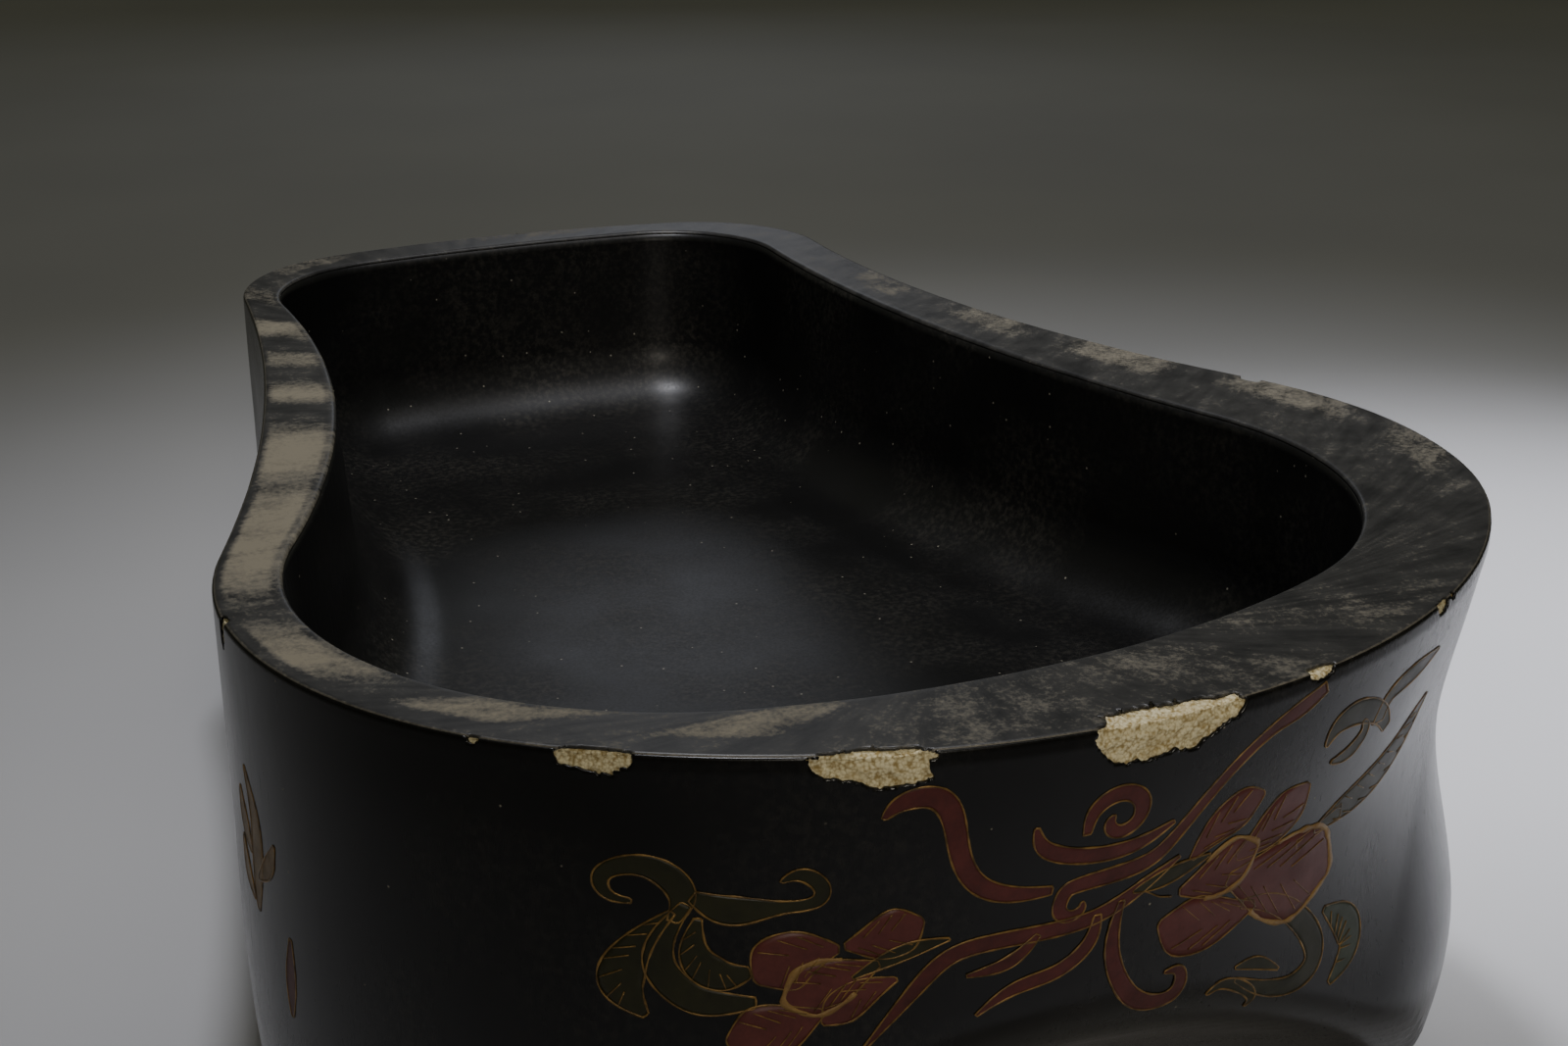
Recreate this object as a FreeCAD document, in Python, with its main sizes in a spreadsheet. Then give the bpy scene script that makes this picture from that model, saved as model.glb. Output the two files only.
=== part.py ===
"""Lacquered go stone bowl with a gourd-shaped plan, built up in layers on a wooden core.

Millimetres, +Z up, +Y towards the narrow end of the bowl. The origin is under the middle
of the plan, on the surface that the foot stands on.
"""
import FreeCAD, Part
import Sketcher
import math
import os

doc = FreeCAD.newDocument("go_stone_bowl")

# ---------------------------------------------------------------- driving dimensions
DIMENSIONS = [
    ("total_height", 92.0, "table to rim"),
    ("foot_height", 4.0, "thickness of the plate that the bowl stands on"),
    ("floor_height", "=total_height - 35", "table to the finished floor of the cavity"),
    ("width", 182.0, "across the two lobes of the wide end"),
    # outer plan at the rim: four round lobes joined by four tangent arcs
    ("right_radius", 62.5, "right lobe of the wide end"),
    ("right_forward", 50.0, "its centre, forward of the middle"),
    ("left_radius", 63.0, "left lobe of the wide end"),
    ("left_forward", 58.0, "its centre, forward of the middle"),
    ("back_right_radius", 26.0, "right corner of the narrow end"),
    ("back_right_reach", 60.0, "narrow end, middle line to right flank"),
    ("back_right_back", 98.5, "its centre, behind the middle"),
    ("back_left_radius", 31.0, "left corner of the narrow end"),
    ("back_left_reach", 56.0, "narrow end, middle line to left flank"),
    ("back_left_back", 93.5, "its centre, behind the middle"),
    ("right_waist_radius", 230.0, "hollow flank on the right"),
    ("left_waist_radius", 500.0, "hollow flank on the left"),
    ("back_arc_radius", 190.0, "flat curve across the narrow end"),
    ("front_arc_radius", "=width * 0.57", "curve across the wide end at the rim"),
    # how far the wall draws in below the rim, and how its front curve flattens
    ("waist_height", "=total_height - 27", "table to the narrowest part of the wall"),
    ("waist_inset_right", 4.2, "right half, draws in at the waist"),
    ("waist_inset_left", 0.3, "left half, draws in at the waist"),
    ("waist_front_radius", "=width * 0.64", "front curve at the waist"),
    ("shoulder_height", "=total_height - 12", "table to a level between waist and rim"),
    ("shoulder_inset_right", 1.6, "right half, draws in at the shoulder"),
    ("shoulder_inset_left", 0.1, "left half, draws in at the shoulder"),
    ("shoulder_front_radius", "=width * 0.59", "front curve at the shoulder"),
    ("bulge_height", 29.0, "table to the swelling under the waist"),
    ("bulge_inset_right", -0.4, "right half, draws in at the swelling"),
    ("bulge_inset_left", 1.0, "left half, draws in at the swelling"),
    ("bulge_front_radius", "=width * 1.1", "front curve at the swelling and below it"),
    ("turn_inset", 9.0, "turns in under the swelling, down to the foot"),
    ("foot_inset", 4.0, "foot plate inside the bottom of the wall"),
    # the wide end is scooped away underneath by a slanting vault
    ("scoop_radius", 200.0, "curve of the vault"),
    ("scoop_length", 500.0, "longer than the vault, so that it cuts right through"),
    ("scoop_left", 10.0, "crown of the vault, left of the middle"),
    ("scoop_forward", 128.0, "crown of the vault at the front, forward of the middle"),
    ("scoop_height", "=total_height - 40", "table to the crown of the vault at the front"),
    # cavity: the wall is measured at the rim at each lobe
    ("right_wall", 21.0, "rim width at the right lobe"),
    ("cavity_right_radius", 51.0, "right lobe of the cavity"),
    ("cavity_right_forward", 53.0, "its centre, forward of the middle"),
    ("left_wall", 9.0, "rim width at the left lobe"),
    ("cavity_left_radius", 52.0, "left lobe of the cavity"),
    ("cavity_left_forward", 57.0, "its centre, forward of the middle"),
    ("back_right_wall", 11.0, "rim width at the right of the narrow end"),
    ("cavity_back_right_radius", 22.0, "right corner of the cavity's narrow end"),
    ("cavity_back_right_back", 96.0, "its centre, behind the middle"),
    ("back_left_wall", 6.0, "rim width at the left of the narrow end"),
    ("cavity_back_left_radius", 26.0, "left corner of the cavity's narrow end"),
    ("cavity_back_left_back", 90.0, "its centre, behind the middle"),
    ("cavity_right_waist", 330.0, "hollow flank of the cavity, right"),
    ("cavity_left_waist", 275.0, "hollow flank of the cavity, left"),
    ("cavity_back_arc", 265.0, "back curve of the cavity"),
    ("cavity_front_arc", "=width * 0.71", "front curve of the cavity"),
    ("cavity_draft", 1.5, "cavity wall draws in from rim to floor"),
    ("cove_radius", 13.0, "round between cavity wall and floor"),
    # layers, from the surface inwards
    ("outer_lacquer", 0.5, "black lacquer outside"),
    ("outer_ash", 1.6, "ash ground outside"),
    ("outer_cloth", 0.4, "hemp cloth round the core"),
    ("inner_lacquer", 0.4, "black lacquer inside"),
    ("inner_ash", 0.7, "ash ground inside"),
    ("rim_lacquer", 0.5, "lacquer on the rim"),
    ("rim_ash", 1.6, "ash ground on the rim"),
    ("underside_coat", 0.8, "lacquered ground under the base"),
    # joinery of the core
    ("base_board", 11.0, "thickness of the bottom board"),
    ("board_tongue", 3.0, "floor block let into the wall"),
    ("board_lap", 4.0, "floor block stands above the floor into the cove"),
    ("dowel_diameter", 2.2, "bamboo dowels across the seam"),
    ("dowel_length", 26.0, "bamboo dowels across the seam"),
    ("dowel_spacing", 9.0, "between the two dowels at each end of the seam"),
    ("peg_diameter", 3.0, "bamboo pegs through wall and base into the floor block"),
    ("peg_depth", 9.0, "a peg's reach into the floor block"),
    # places of the inlaid motifs: distance from the middle, and drop below the rim
    ("ribbon_left", 6.0, "cloud ribbon, left of the middle"),
    ("ribbon_drop", 21.0, "cloud ribbon"),
    ("blossom_left_x", 40.0, "left blossom, left of the middle"),
    ("blossom_left_drop", 27.0, "left blossom"),
    ("blossom_right_x", 14.0, "right blossom, right of the middle"),
    ("blossom_right_drop", 24.0, "right blossom"),
    ("leaf_left_x", 53.0, "left leaf scroll, left of the middle"),
    ("leaf_left_drop", 21.0, "left leaf scroll"),
    ("leaf_upper_x", 38.0, "upper right leaf scroll, right of the middle"),
    ("leaf_upper_drop", 14.0, "upper right leaf scroll"),
    ("leaf_lower_x", 26.0, "lower right leaf scroll, right of the middle"),
    ("leaf_lower_drop", 36.0, "lower right leaf scroll"),
    ("spray_forward", 58.0, "gold spray on the left side, forward of the middle"),
    ("spray_drop", 30.0, "gold spray"),
    ("petal_forward", 73.0, "red petal on the left side, forward of the middle"),
    ("petal_drop", 43.0, "red petal"),
]

sheet = doc.addObject("Spreadsheet::Sheet", "dims")
for row, (alias, number, note) in enumerate(DIMENSIONS, start=1):
    sheet.set("A%d" % row, note)
    sheet.set("B%d" % row, str(number))
    sheet.setAlias("B%d" % row, alias)
doc.recompute()


class Size:
    """A length that carries its number and the expression that gives it."""

    def __init__(self, number, text):
        self.number = number
        self.text = text

    def __add__(self, other):
        return Size(self.number + other.number, "(%s + %s)" % (self.text, other.text))

    def __sub__(self, other):
        return Size(self.number - other.number, "(%s - %s)" % (self.text, other.text))

    def times(self, factor):
        return Size(self.number * factor, "(%s * %.6f)" % (self.text, factor))


def dim(alias):
    """The sheet's cell as a Size."""
    return Size(float(sheet.get(alias)), "dims." + alias)


ZERO = Size(0.0, "0")


def bind(item, prop, size):
    item.setExpression(prop, size.text)


# ---------------------------------------------------------------- plan outlines
class Lobe:
    """A round corner of the plan: centre to the right of and behind the middle."""

    def __init__(self, right, back, radius):
        self.right = right
        self.back = back
        self.radius = radius


class Link:
    """The arc that joins a lobe to the next one, bulging out or hollow."""

    def __init__(self, radius, hollow=False):
        self.radius = radius
        self.hollow = hollow


def tangent_link(first, second, radius, hollow):
    """Centre of the arc that touches both lobes, going anticlockwise round the plan."""
    if hollow:
        reach_1 = radius + first[2]
        reach_2 = radius + second[2]
        side = -1.0
    else:
        reach_1 = radius - first[2]
        reach_2 = radius - second[2]
        side = 1.0
    dx = second[0] - first[0]
    dy = second[1] - first[1]
    apart = math.hypot(dx, dy)
    along = (reach_1 ** 2 - reach_2 ** 2 + apart ** 2) / (2.0 * apart)
    off = side * math.sqrt(reach_1 ** 2 - along ** 2)
    return (first[0] + (along * dx - off * dy) / apart,
            first[1] + (along * dy + off * dx) / apart)


def bearing(centre, point):
    return math.atan2(point[1] - centre[1], point[0] - centre[0])


def outline_arcs(lobes, links, depth):
    """The closed chain of arcs, drawn in by depth: (centre, radius, from, to, hollow)."""
    rounds = [(lobe.right.number, lobe.back.number, (lobe.radius - depth).number)
              for lobe in lobes]
    count = len(lobes)
    centres = []
    radii = []
    for i, link in enumerate(links):
        radius = link_radius(link, depth).number
        radii.append(radius)
        centres.append(tangent_link(rounds[i], rounds[(i + 1) % count], radius, link.hollow))
    arcs = []
    for i in range(count):
        before = i - 1
        x, y, radius = rounds[i]
        turns = []
        for j in (before, i):
            angle = bearing(centres[j], (x, y))
            turns.append(angle + math.pi if links[j].hollow else angle)
        arcs.append(((x, y), radius, turns[0], turns[1], False))
        after = rounds[(i + 1) % count]
        start = bearing(centres[i], (x, y))
        end = bearing(centres[i], after)
        if links[i].hollow:
            arcs.append((centres[i], radii[i], end, start, True))
        else:
            arcs.append((centres[i], radii[i], start, end, False))
    return arcs


def link_radius(link, depth):
    return link.radius + depth if link.hollow else link.radius - depth


def from_origin(sketch, kind, index, size):
    """Ties an arc's centre to the origin, to the side that its sign gives."""
    if size.number >= 0:
        place = sketch.addConstraint(Sketcher.Constraint(kind, -1, 1, index, 3, size.number))
        text = size.text
    else:
        place = sketch.addConstraint(Sketcher.Constraint(kind, index, 3, -1, 1, -size.number))
        text = "-1 * " + size.text
    name = "%s_%d" % (kind, index)
    sketch.renameConstraint(place, name)
    sketch.setExpression("Constraints." + name, text)


def draw_outline(sketch, lobes, links, depth):
    """Draws the tangent arcs in a sketch and ties every centre and radius to the sheet."""
    first = sketch.GeometryCount
    arcs = outline_arcs(lobes, links, depth)
    up = FreeCAD.Vector(0, 0, 1)
    for centre, radius, start, end, hollow in arcs:
        circle = Part.Circle(FreeCAD.Vector(centre[0], centre[1], 0), up, radius)
        while end <= start:
            end += 2.0 * math.pi
        sketch.addGeometry(Part.ArcOfCircle(circle, start, end), False)
    for i, arc in enumerate(arcs):
        following = (i + 1) % len(arcs)
        leaves = 1 if arc[4] else 2
        enters = 2 if arcs[following][4] else 1
        sketch.addConstraint(Sketcher.Constraint(
            "Tangent", first + i, leaves, first + following, enters))
    for i, lobe in enumerate(lobes):
        from_origin(sketch, "DistanceX", first + 2 * i, lobe.right)
        from_origin(sketch, "DistanceY", first + 2 * i, lobe.back)
        tie_radius(sketch, first + 2 * i, lobe.radius - depth)
        tie_radius(sketch, first + 2 * i + 1, link_radius(links[i], depth))


def tie_radius(sketch, index, size):
    place = sketch.addConstraint(Sketcher.Constraint("Radius", index, size.number))
    name = "radius_%d" % index
    sketch.renameConstraint(place, name)
    bind(sketch, "Constraints." + name, size)


def plan_sketch(body, name, level):
    """An empty sketch on the body's own XY plane, raised to a level."""
    sketch = body.newObject("Sketcher::SketchObject", name)
    plane = [f for f in body.Origin.OriginFeatures if f.Role == "XY_Plane"][0]
    sketch.AttachmentSupport = [(plane, "")]
    sketch.MapMode = "FlatFace"
    sketch.AttachmentOffset = FreeCAD.Placement(
        FreeCAD.Vector(0, 0, level.number), FreeCAD.Rotation())
    bind(sketch, "AttachmentOffset.Base.z", level)
    return sketch


HALF_WIDTH = dim("width").times(0.5)
# centres: right lobe, back right corner, back left corner, left lobe
OUTER_CENTRES = [
    (HALF_WIDTH - dim("right_radius"), ZERO - dim("right_forward")),
    (dim("back_right_reach") - dim("back_right_radius"), dim("back_right_back")),
    (dim("back_left_radius") - dim("back_left_reach"), dim("back_left_back")),
    (dim("left_radius") - HALF_WIDTH, ZERO - dim("left_forward")),
]
OUTER_RADII = [dim("right_radius"), dim("back_right_radius"),
               dim("back_left_radius"), dim("left_radius")]


def outer_plan(inset_right, inset_left, front):
    """Lobes and links of the outside, drawn in by its own amount on each side."""
    insets = [inset_right, inset_right, inset_left, inset_left]
    lobes = [Lobe(centre[0], centre[1], radius - inset)
             for centre, radius, inset in zip(OUTER_CENTRES, OUTER_RADII, insets)]
    links = [Link(dim("right_waist_radius"), hollow=True),
             Link(dim("back_arc_radius")),
             Link(dim("left_waist_radius"), hollow=True),
             front]
    return lobes, links


def cavity_plan(inset):
    """Lobes and links of the cavity, drawn in evenly by inset."""
    lobes = [
        Lobe(HALF_WIDTH - dim("right_wall") - dim("cavity_right_radius"),
             ZERO - dim("cavity_right_forward"), dim("cavity_right_radius") - inset),
        Lobe(dim("back_right_reach") - dim("back_right_wall") - dim("cavity_back_right_radius"),
             dim("cavity_back_right_back"), dim("cavity_back_right_radius") - inset),
        Lobe(dim("cavity_back_left_radius") + dim("back_left_wall") - dim("back_left_reach"),
             dim("cavity_back_left_back"), dim("cavity_back_left_radius") - inset),
        Lobe(dim("cavity_left_radius") + dim("left_wall") - HALF_WIDTH,
             ZERO - dim("cavity_left_forward"), dim("cavity_left_radius") - inset),
    ]
    links = [Link(dim("cavity_right_waist"), hollow=True),
             Link(dim("cavity_back_arc")),
             Link(dim("cavity_left_waist"), hollow=True),
             Link(dim("cavity_front_arc"))]
    return lobes, links


RIM_PLAN = outer_plan(ZERO, ZERO, Link(dim("front_arc_radius")))
RIM_UNDERSIDE = dim("total_height") - dim("rim_lacquer") - dim("rim_ash")
TURN_ANGLES = [math.radians(angle) for angle in (80, 58, 34, 0)]
COVE_ANGLES = [math.radians(angle) for angle in (90, 68, 45, 22, 0)]


def turn_level(angle):
    """Level and plan of the quarter turn under the swelling, 0 at the swelling."""
    lowest = TURN_ANGLES[0]
    drop = math.sin(angle) / math.sin(lowest)
    draw_in = (1.0 - math.cos(angle)) / (1.0 - math.cos(lowest))
    level = dim("bulge_height") - (dim("bulge_height") - dim("foot_height")).times(drop)
    turned = dim("turn_inset").times(draw_in)
    return level, outer_plan(dim("bulge_inset_right") + turned,
                             dim("bulge_inset_left") + turned,
                             Link(dim("bulge_front_radius")))


OUTER_LEVELS = [turn_level(angle) for angle in TURN_ANGLES] + [
    (dim("waist_height"), outer_plan(dim("waist_inset_right"), dim("waist_inset_left"),
                                     Link(dim("waist_front_radius")))),
    (dim("shoulder_height"), outer_plan(dim("shoulder_inset_right"),
                                        dim("shoulder_inset_left"),
                                        Link(dim("shoulder_front_radius")))),
    (RIM_UNDERSIDE, RIM_PLAN),
]


# ---------------------------------------------------------------- solids between layers
def loft(body, name, sketches):
    item = body.newObject("PartDesign::AdditiveLoft", name)
    item.Profile = sketches[0]
    item.Sections = sketches[1:]
    item.Ruled = False
    item.Closed = False
    return item


def cut(name, base, *tools):
    """base without the tools."""
    item = doc.addObject("Part::Cut", name)
    item.Base = base
    item.Tool = tools[0] if len(tools) == 1 else fuse(name + "_tools", tools)
    return item


def fuse(name, pieces):
    item = doc.addObject("Part::MultiFuse", name)
    item.Shapes = list(pieces)
    return item


def common(name, base, tool):
    item = doc.addObject("Part::Common", name)
    item.Base = base
    item.Tool = tool
    return item


ALONG_X = FreeCAD.Rotation(FreeCAD.Vector(0, 1, 0), 90)
AGAINST_X = FreeCAD.Rotation(FreeCAD.Vector(0, 1, 0), -90)
AGAINST_Y = FreeCAD.Rotation(FreeCAD.Vector(1, 0, 0), 90)
UPRIGHT = FreeCAD.Rotation()
SCOOP_SLOPE = math.radians(36.0)
DOWN_SCOOP = FreeCAD.Rotation(FreeCAD.Vector(1, 0, 0), -90 - math.degrees(SCOOP_SLOPE))


def rod(name, diameter, length, start, rotation):
    """A round pin or hole, from its start along its turned axis."""
    item = doc.addObject("Part::Cylinder", name)
    bind(item, "Radius", diameter.times(0.5))
    bind(item, "Height", length)
    item.Placement = FreeCAD.Placement(
        FreeCAD.Vector(*[size.number for size in start]), rotation)
    for axis, size in zip("xyz", start):
        bind(item, "Placement.Base." + axis, size)
    return item


def scoop(name, depth):
    """The round vault under the wide end, sloping down from the front to the table."""
    half_length = dim("scoop_length").times(0.5)
    start_y = (ZERO - dim("scoop_forward") - dim("scoop_radius").times(math.sin(SCOOP_SLOPE))
               - half_length.times(math.cos(SCOOP_SLOPE)))
    start_z = (dim("scoop_height") - dim("scoop_radius").times(math.cos(SCOOP_SLOPE))
               + half_length.times(math.sin(SCOOP_SLOPE)))
    return rod(name, (dim("scoop_radius") + depth).times(2.0), dim("scoop_length"),
               (ZERO - dim("scoop_left"), start_y, start_z), DOWN_SCOOP)


def outside(name, depth):
    """The whole bowl without its rim layers, filled, at a depth below the surface."""
    body = doc.addObject("PartDesign::Body", name + "_body")
    sketches = []
    for i, (level, plan) in enumerate(OUTER_LEVELS):
        sketch = plan_sketch(body, "%s_level_%d" % (name, i), level)
        draw_outline(sketch, plan[0], plan[1], depth)
        sketches.append(sketch)
    loft(body, name + "_loft", sketches)
    return cut(name, body, scoop(name + "_scoop", depth))


def cavity(name, depth):
    """The cavity up to the rim layers, enlarged by the depth of the layers on its wall."""
    body = doc.addObject("PartDesign::Body", name)
    cove_sketches = []
    for i, angle in enumerate(COVE_ANGLES):
        reach = dim("cove_radius") + depth
        level = dim("floor_height") + dim("cove_radius") - reach.times(math.sin(angle))
        inset = dim("cavity_draft") + dim("cove_radius") - reach.times(math.cos(angle))
        sketch = plan_sketch(body, "%s_cove_%d" % (name, i), level)
        draw_outline(sketch, *cavity_plan(inset), ZERO)
        cove_sketches.append(sketch)
    loft(body, name + "_cove_loft", cove_sketches)
    rim_sketch = plan_sketch(body, name + "_rim", RIM_UNDERSIDE)
    draw_outline(rim_sketch, *cavity_plan(ZERO), ZERO - depth)
    loft(body, name + "_wall_loft", [cove_sketches[-1], rim_sketch])
    return body


def prism(name, plan, depth, bottom, height):
    """An upright prism with a plan outline."""
    body = doc.addObject("PartDesign::Body", name)
    sketch = plan_sketch(body, name + "_plan", bottom)
    draw_outline(sketch, plan[0], plan[1], depth)
    pad = body.newObject("PartDesign::Pad", name + "_pad")
    pad.Profile = sketch
    pad.Length = height.number
    bind(pad, "Length", height)
    return body


outer_ash_depth = dim("outer_lacquer")
outer_cloth_depth = outer_ash_depth + dim("outer_ash")
outer_core_depth = outer_cloth_depth + dim("outer_cloth")
inner_ash_depth = dim("inner_lacquer")
inner_core_depth = inner_ash_depth + dim("inner_ash")

outside_skin = outside("outside_skin", ZERO)
outside_ash = outside("outside_ash", outer_ash_depth)
outside_cloth = outside("outside_cloth", outer_cloth_depth)
outside_core = outside("outside_core", outer_core_depth)
cavity_skin = cavity("cavity_skin", ZERO)
cavity_ash = cavity("cavity_ash", inner_ash_depth)
cavity_core = cavity("cavity_core", inner_core_depth)


# ---------------------------------------------------------------- layers
def ring(name, bottom, height):
    """A flat ring of the rim's plan, from the outer surface to the cavity."""
    body = doc.addObject("PartDesign::Body", name)
    sketch = plan_sketch(body, name + "_plan", bottom)
    draw_outline(sketch, *RIM_PLAN, ZERO)
    draw_outline(sketch, *cavity_plan(ZERO), ZERO)
    pad = body.newObject("PartDesign::Pad", name + "_pad")
    pad.Profile = sketch
    pad.Length = height.number
    bind(pad, "Length", height)
    return body


rim_ash = ring("rim_ash", RIM_UNDERSIDE, dim("rim_ash"))
rim_lacquer = ring("rim_lacquer", dim("total_height") - dim("rim_lacquer"), dim("rim_lacquer"))
outer_shell = cut("outer_shell", outside_skin, outside_ash)
outer_ash = cut("outer_ash", outside_ash, outside_cloth)
hemp_cloth = cut("hemp_cloth", outside_cloth, outside_core)
inner_lacquer = cut("inner_lacquer", cavity_ash, cavity_skin)
inner_ash = cut("inner_ash", cavity_core, cavity_ash)


# ---------------------------------------------------------------- wooden core
def block(name, left, bottom, height):
    """A plain block over the whole plan, from a level up, starting left of the middle."""
    item = doc.addObject("Part::Box", name)
    bind(item, "Length", dim("width"))
    bind(item, "Width", dim("width").times(2.0))
    bind(item, "Height", height)
    bind(item, "Placement.Base.x", ZERO - left)
    bind(item, "Placement.Base.y", ZERO - dim("width"))
    bind(item, "Placement.Base.z", bottom)
    return item


def link_y(plan, depth, link, side):
    """Where an end curve of the plan crosses the middle plane, front or back."""
    centre, radius, _, _, hollow = outline_arcs(*plan, depth)[2 * link + 1]
    rise = math.sqrt(radius ** 2 - centre[0] ** 2)
    return centre[1] + (-side if hollow else side) * rise


core_underside = dim("foot_height") + dim("underside_coat")
board_top = core_underside + dim("base_board")
underside_slab = block("underside_slab", HALF_WIDTH, dim("foot_height"), dim("underside_coat"))
underside_coat = common("underside_coat", outside_core, underside_slab)
base_slab = block("base_slab", HALF_WIDTH, core_underside, dim("base_board"))
floor_prism = prism("floor_prism", cavity_plan(dim("cavity_draft")), ZERO - dim("board_tongue"),
                    board_top, dim("floor_height") + dim("board_lap") - board_top)
floor_stock = common("floor_stock", outside_core, floor_prism)
foot_prism = prism("foot_prism", OUTER_LEVELS[0][1], dim("foot_inset"), ZERO, dim("foot_height"))
foot_plate = cut("foot_plate", foot_prism, scoop("foot_scoop", dim("foot_inset")))

# bamboo pegs at the four lobes: one upright through the base, one level through the wall
cavity_lobes = cavity_plan(ZERO)[0]
peg_level = board_top + (dim("floor_height") - inner_core_depth - board_top).times(0.5)
base_rods = []
wall_rods = []
for i, lobe in enumerate(cavity_lobes):
    base_rods.append(rod("base_rod_%d" % i, dim("peg_diameter"),
                         dim("base_board") + dim("peg_depth"),
                         (lobe.right, lobe.back, core_underside), UPRIGHT))
    edge = lobe.radius - dim("cavity_draft") + dim("board_tongue") - dim("peg_depth")
    on_right = i in (0, 1)
    wall_rods.append(rod("wall_rod_%d" % i, dim("peg_diameter"), dim("width").times(0.5),
                         (lobe.right + edge if on_right else lobe.right - edge,
                          lobe.back, peg_level),
                         ALONG_X if on_right else AGAINST_X))
base_pegs = fuse("base_pegs", base_rods)
wall_pegs = common("wall_pegs", outside_core, fuse("wall_rods", wall_rods))

# bamboo dowels across the seam, in the middle of the wood at each end
shoulder_plan = OUTER_LEVELS[-2][1]
seam_rods = []
for link, side in ((3, -1.0), (1, 1.0)):
    outer_y = link_y(shoulder_plan, outer_core_depth, link, side)
    inner_y = link_y(cavity_plan(dim("cavity_draft").times(0.5)), ZERO - inner_core_depth,
                     link, side)
    for step in (-1.0, 1.0):
        level = dim("shoulder_height") + dim("dowel_spacing").times(0.5 * step)
        middle = Size((outer_y + inner_y) / 2.0, "%.4f" % ((outer_y + inner_y) / 2.0))
        seam_rods.append(rod("seam_rod_%d" % len(seam_rods), dim("dowel_diameter"),
                             dim("dowel_length"),
                             (ZERO - dim("dowel_length").times(0.5), middle, level), ALONG_X))
seam_dowels = fuse("seam_dowels", seam_rods)

wall = cut("wall", outside_core, cavity_core, underside_slab, base_slab, floor_prism,
           *seam_rods, *wall_rods)
right_half = block("right_half", ZERO, ZERO, dim("total_height"))
left_half = block("left_half", dim("width"), ZERO, dim("total_height"))
core_wall_right = common("core_wall_right", wall, right_half)
core_wall_left = common("core_wall_left", wall, left_half)
core_floor_block = cut("core_floor_block", floor_stock, cavity_core, *wall_rods, *base_rods)
base_plank = common("base_plank", outside_core, base_slab)
core_base_board = cut("core_base_board", base_plank, *base_rods)


# ---------------------------------------------------------------- inlaid lacquer motifs
def motif(name, across, up, rounds, rotation=AGAINST_Y):
    """Coloured lacquer let into the black skin: overlapping rounds (across, up, radius)."""
    prisms = []
    for i, (along, rise, radius) in enumerate(rounds):
        sideways = across + Size(along, "%g" % along)
        height = up + Size(rise, "%g" % rise)
        start = (sideways, ZERO, height) if rotation is AGAINST_Y else (ZERO, sideways, height)
        prisms.append(rod("%s_round_%d" % (name, i), Size(2.0 * radius, "%g" % (2.0 * radius)),
                          dim("width"), start, rotation))
    stock = fuse(name + "_stock", prisms)
    return stock, common(name, outer_shell, stock)


def petals(count, ring_radius, petal_radius):
    """The rounds of an open blossom: a ring of petals and an eye."""
    turn = 2.0 * math.pi / count
    around = [(ring_radius * math.cos(turn * k), ring_radius * math.sin(turn * k), petal_radius)
              for k in range(count)]
    return around + [(0.0, 0.0, ring_radius)]


def ribbon(points, radius):
    """Rounds along a broken line, close enough to read as a band."""
    rounds = []
    for (x1, z1), (x2, z2) in zip(points, points[1:]):
        steps = max(1, round(math.hypot(x2 - x1, z2 - z1) / (1.2 * radius)))
        for k in range(steps):
            share = k / steps
            rounds.append((x1 + (x2 - x1) * share, z1 + (z2 - z1) * share, radius))
    return rounds + [(points[-1][0], points[-1][1], radius)]


BELOW_RIM = dim("total_height")
MOTIFS = [
    ("inlay_cloud_ribbon", ZERO - dim("ribbon_left"), BELOW_RIM - dim("ribbon_drop"),
     ribbon([(-20, 10), (-14, 12), (-9, 2), (8, 6), (28, 15)], 2.4)
     + ribbon([(-18, -14), (-6, -4), (8, -8), (9, -16)], 2.2), AGAINST_Y),
    ("inlay_blossom_left", ZERO - dim("blossom_left_x"), BELOW_RIM - dim("blossom_left_drop"),
     petals(5, 5.0, 4.6), AGAINST_Y),
    ("inlay_blossom_right", dim("blossom_right_x"), BELOW_RIM - dim("blossom_right_drop"),
     petals(6, 5.6, 4.8), AGAINST_Y),
    ("inlay_leaf_left", ZERO - dim("leaf_left_x"), BELOW_RIM - dim("leaf_left_drop"),
     [(-5, -3, 4.5), (0, -1, 4.0), (4, 3, 3.2)], AGAINST_Y),
    ("inlay_leaf_upper_right", dim("leaf_upper_x"), BELOW_RIM - dim("leaf_upper_drop"),
     [(-5, -4, 3.5), (0, -1, 3.8), (4, 4, 3.0)], AGAINST_Y),
    ("inlay_leaf_lower_right", dim("leaf_lower_x"), BELOW_RIM - dim("leaf_lower_drop"),
     [(-5, 1, 3.0), (0, -2, 3.6), (6, 1, 4.6)], AGAINST_Y),
    ("inlay_spray_left_side", ZERO - dim("spray_forward"), BELOW_RIM - dim("spray_drop"),
     [(3, 7, 3.0), (1, 2, 3.2), (-1, -3, 3.2), (-2, -8, 2.6)], AGAINST_X),
    ("inlay_petal_left_side", ZERO - dim("petal_forward"), BELOW_RIM - dim("petal_drop"),
     [(0, 1.2, 1.4), (0, -1.2, 1.4)], AGAINST_X),
]
stocks = []
inlays = {}
for name, across, up, rounds, rotation in MOTIFS:
    stock, inlay = motif(name, across, up, rounds, rotation)
    stocks.append(stock)
    inlays[name] = inlay
outer_lacquer = cut("outer_lacquer", outer_shell, *stocks)

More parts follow.
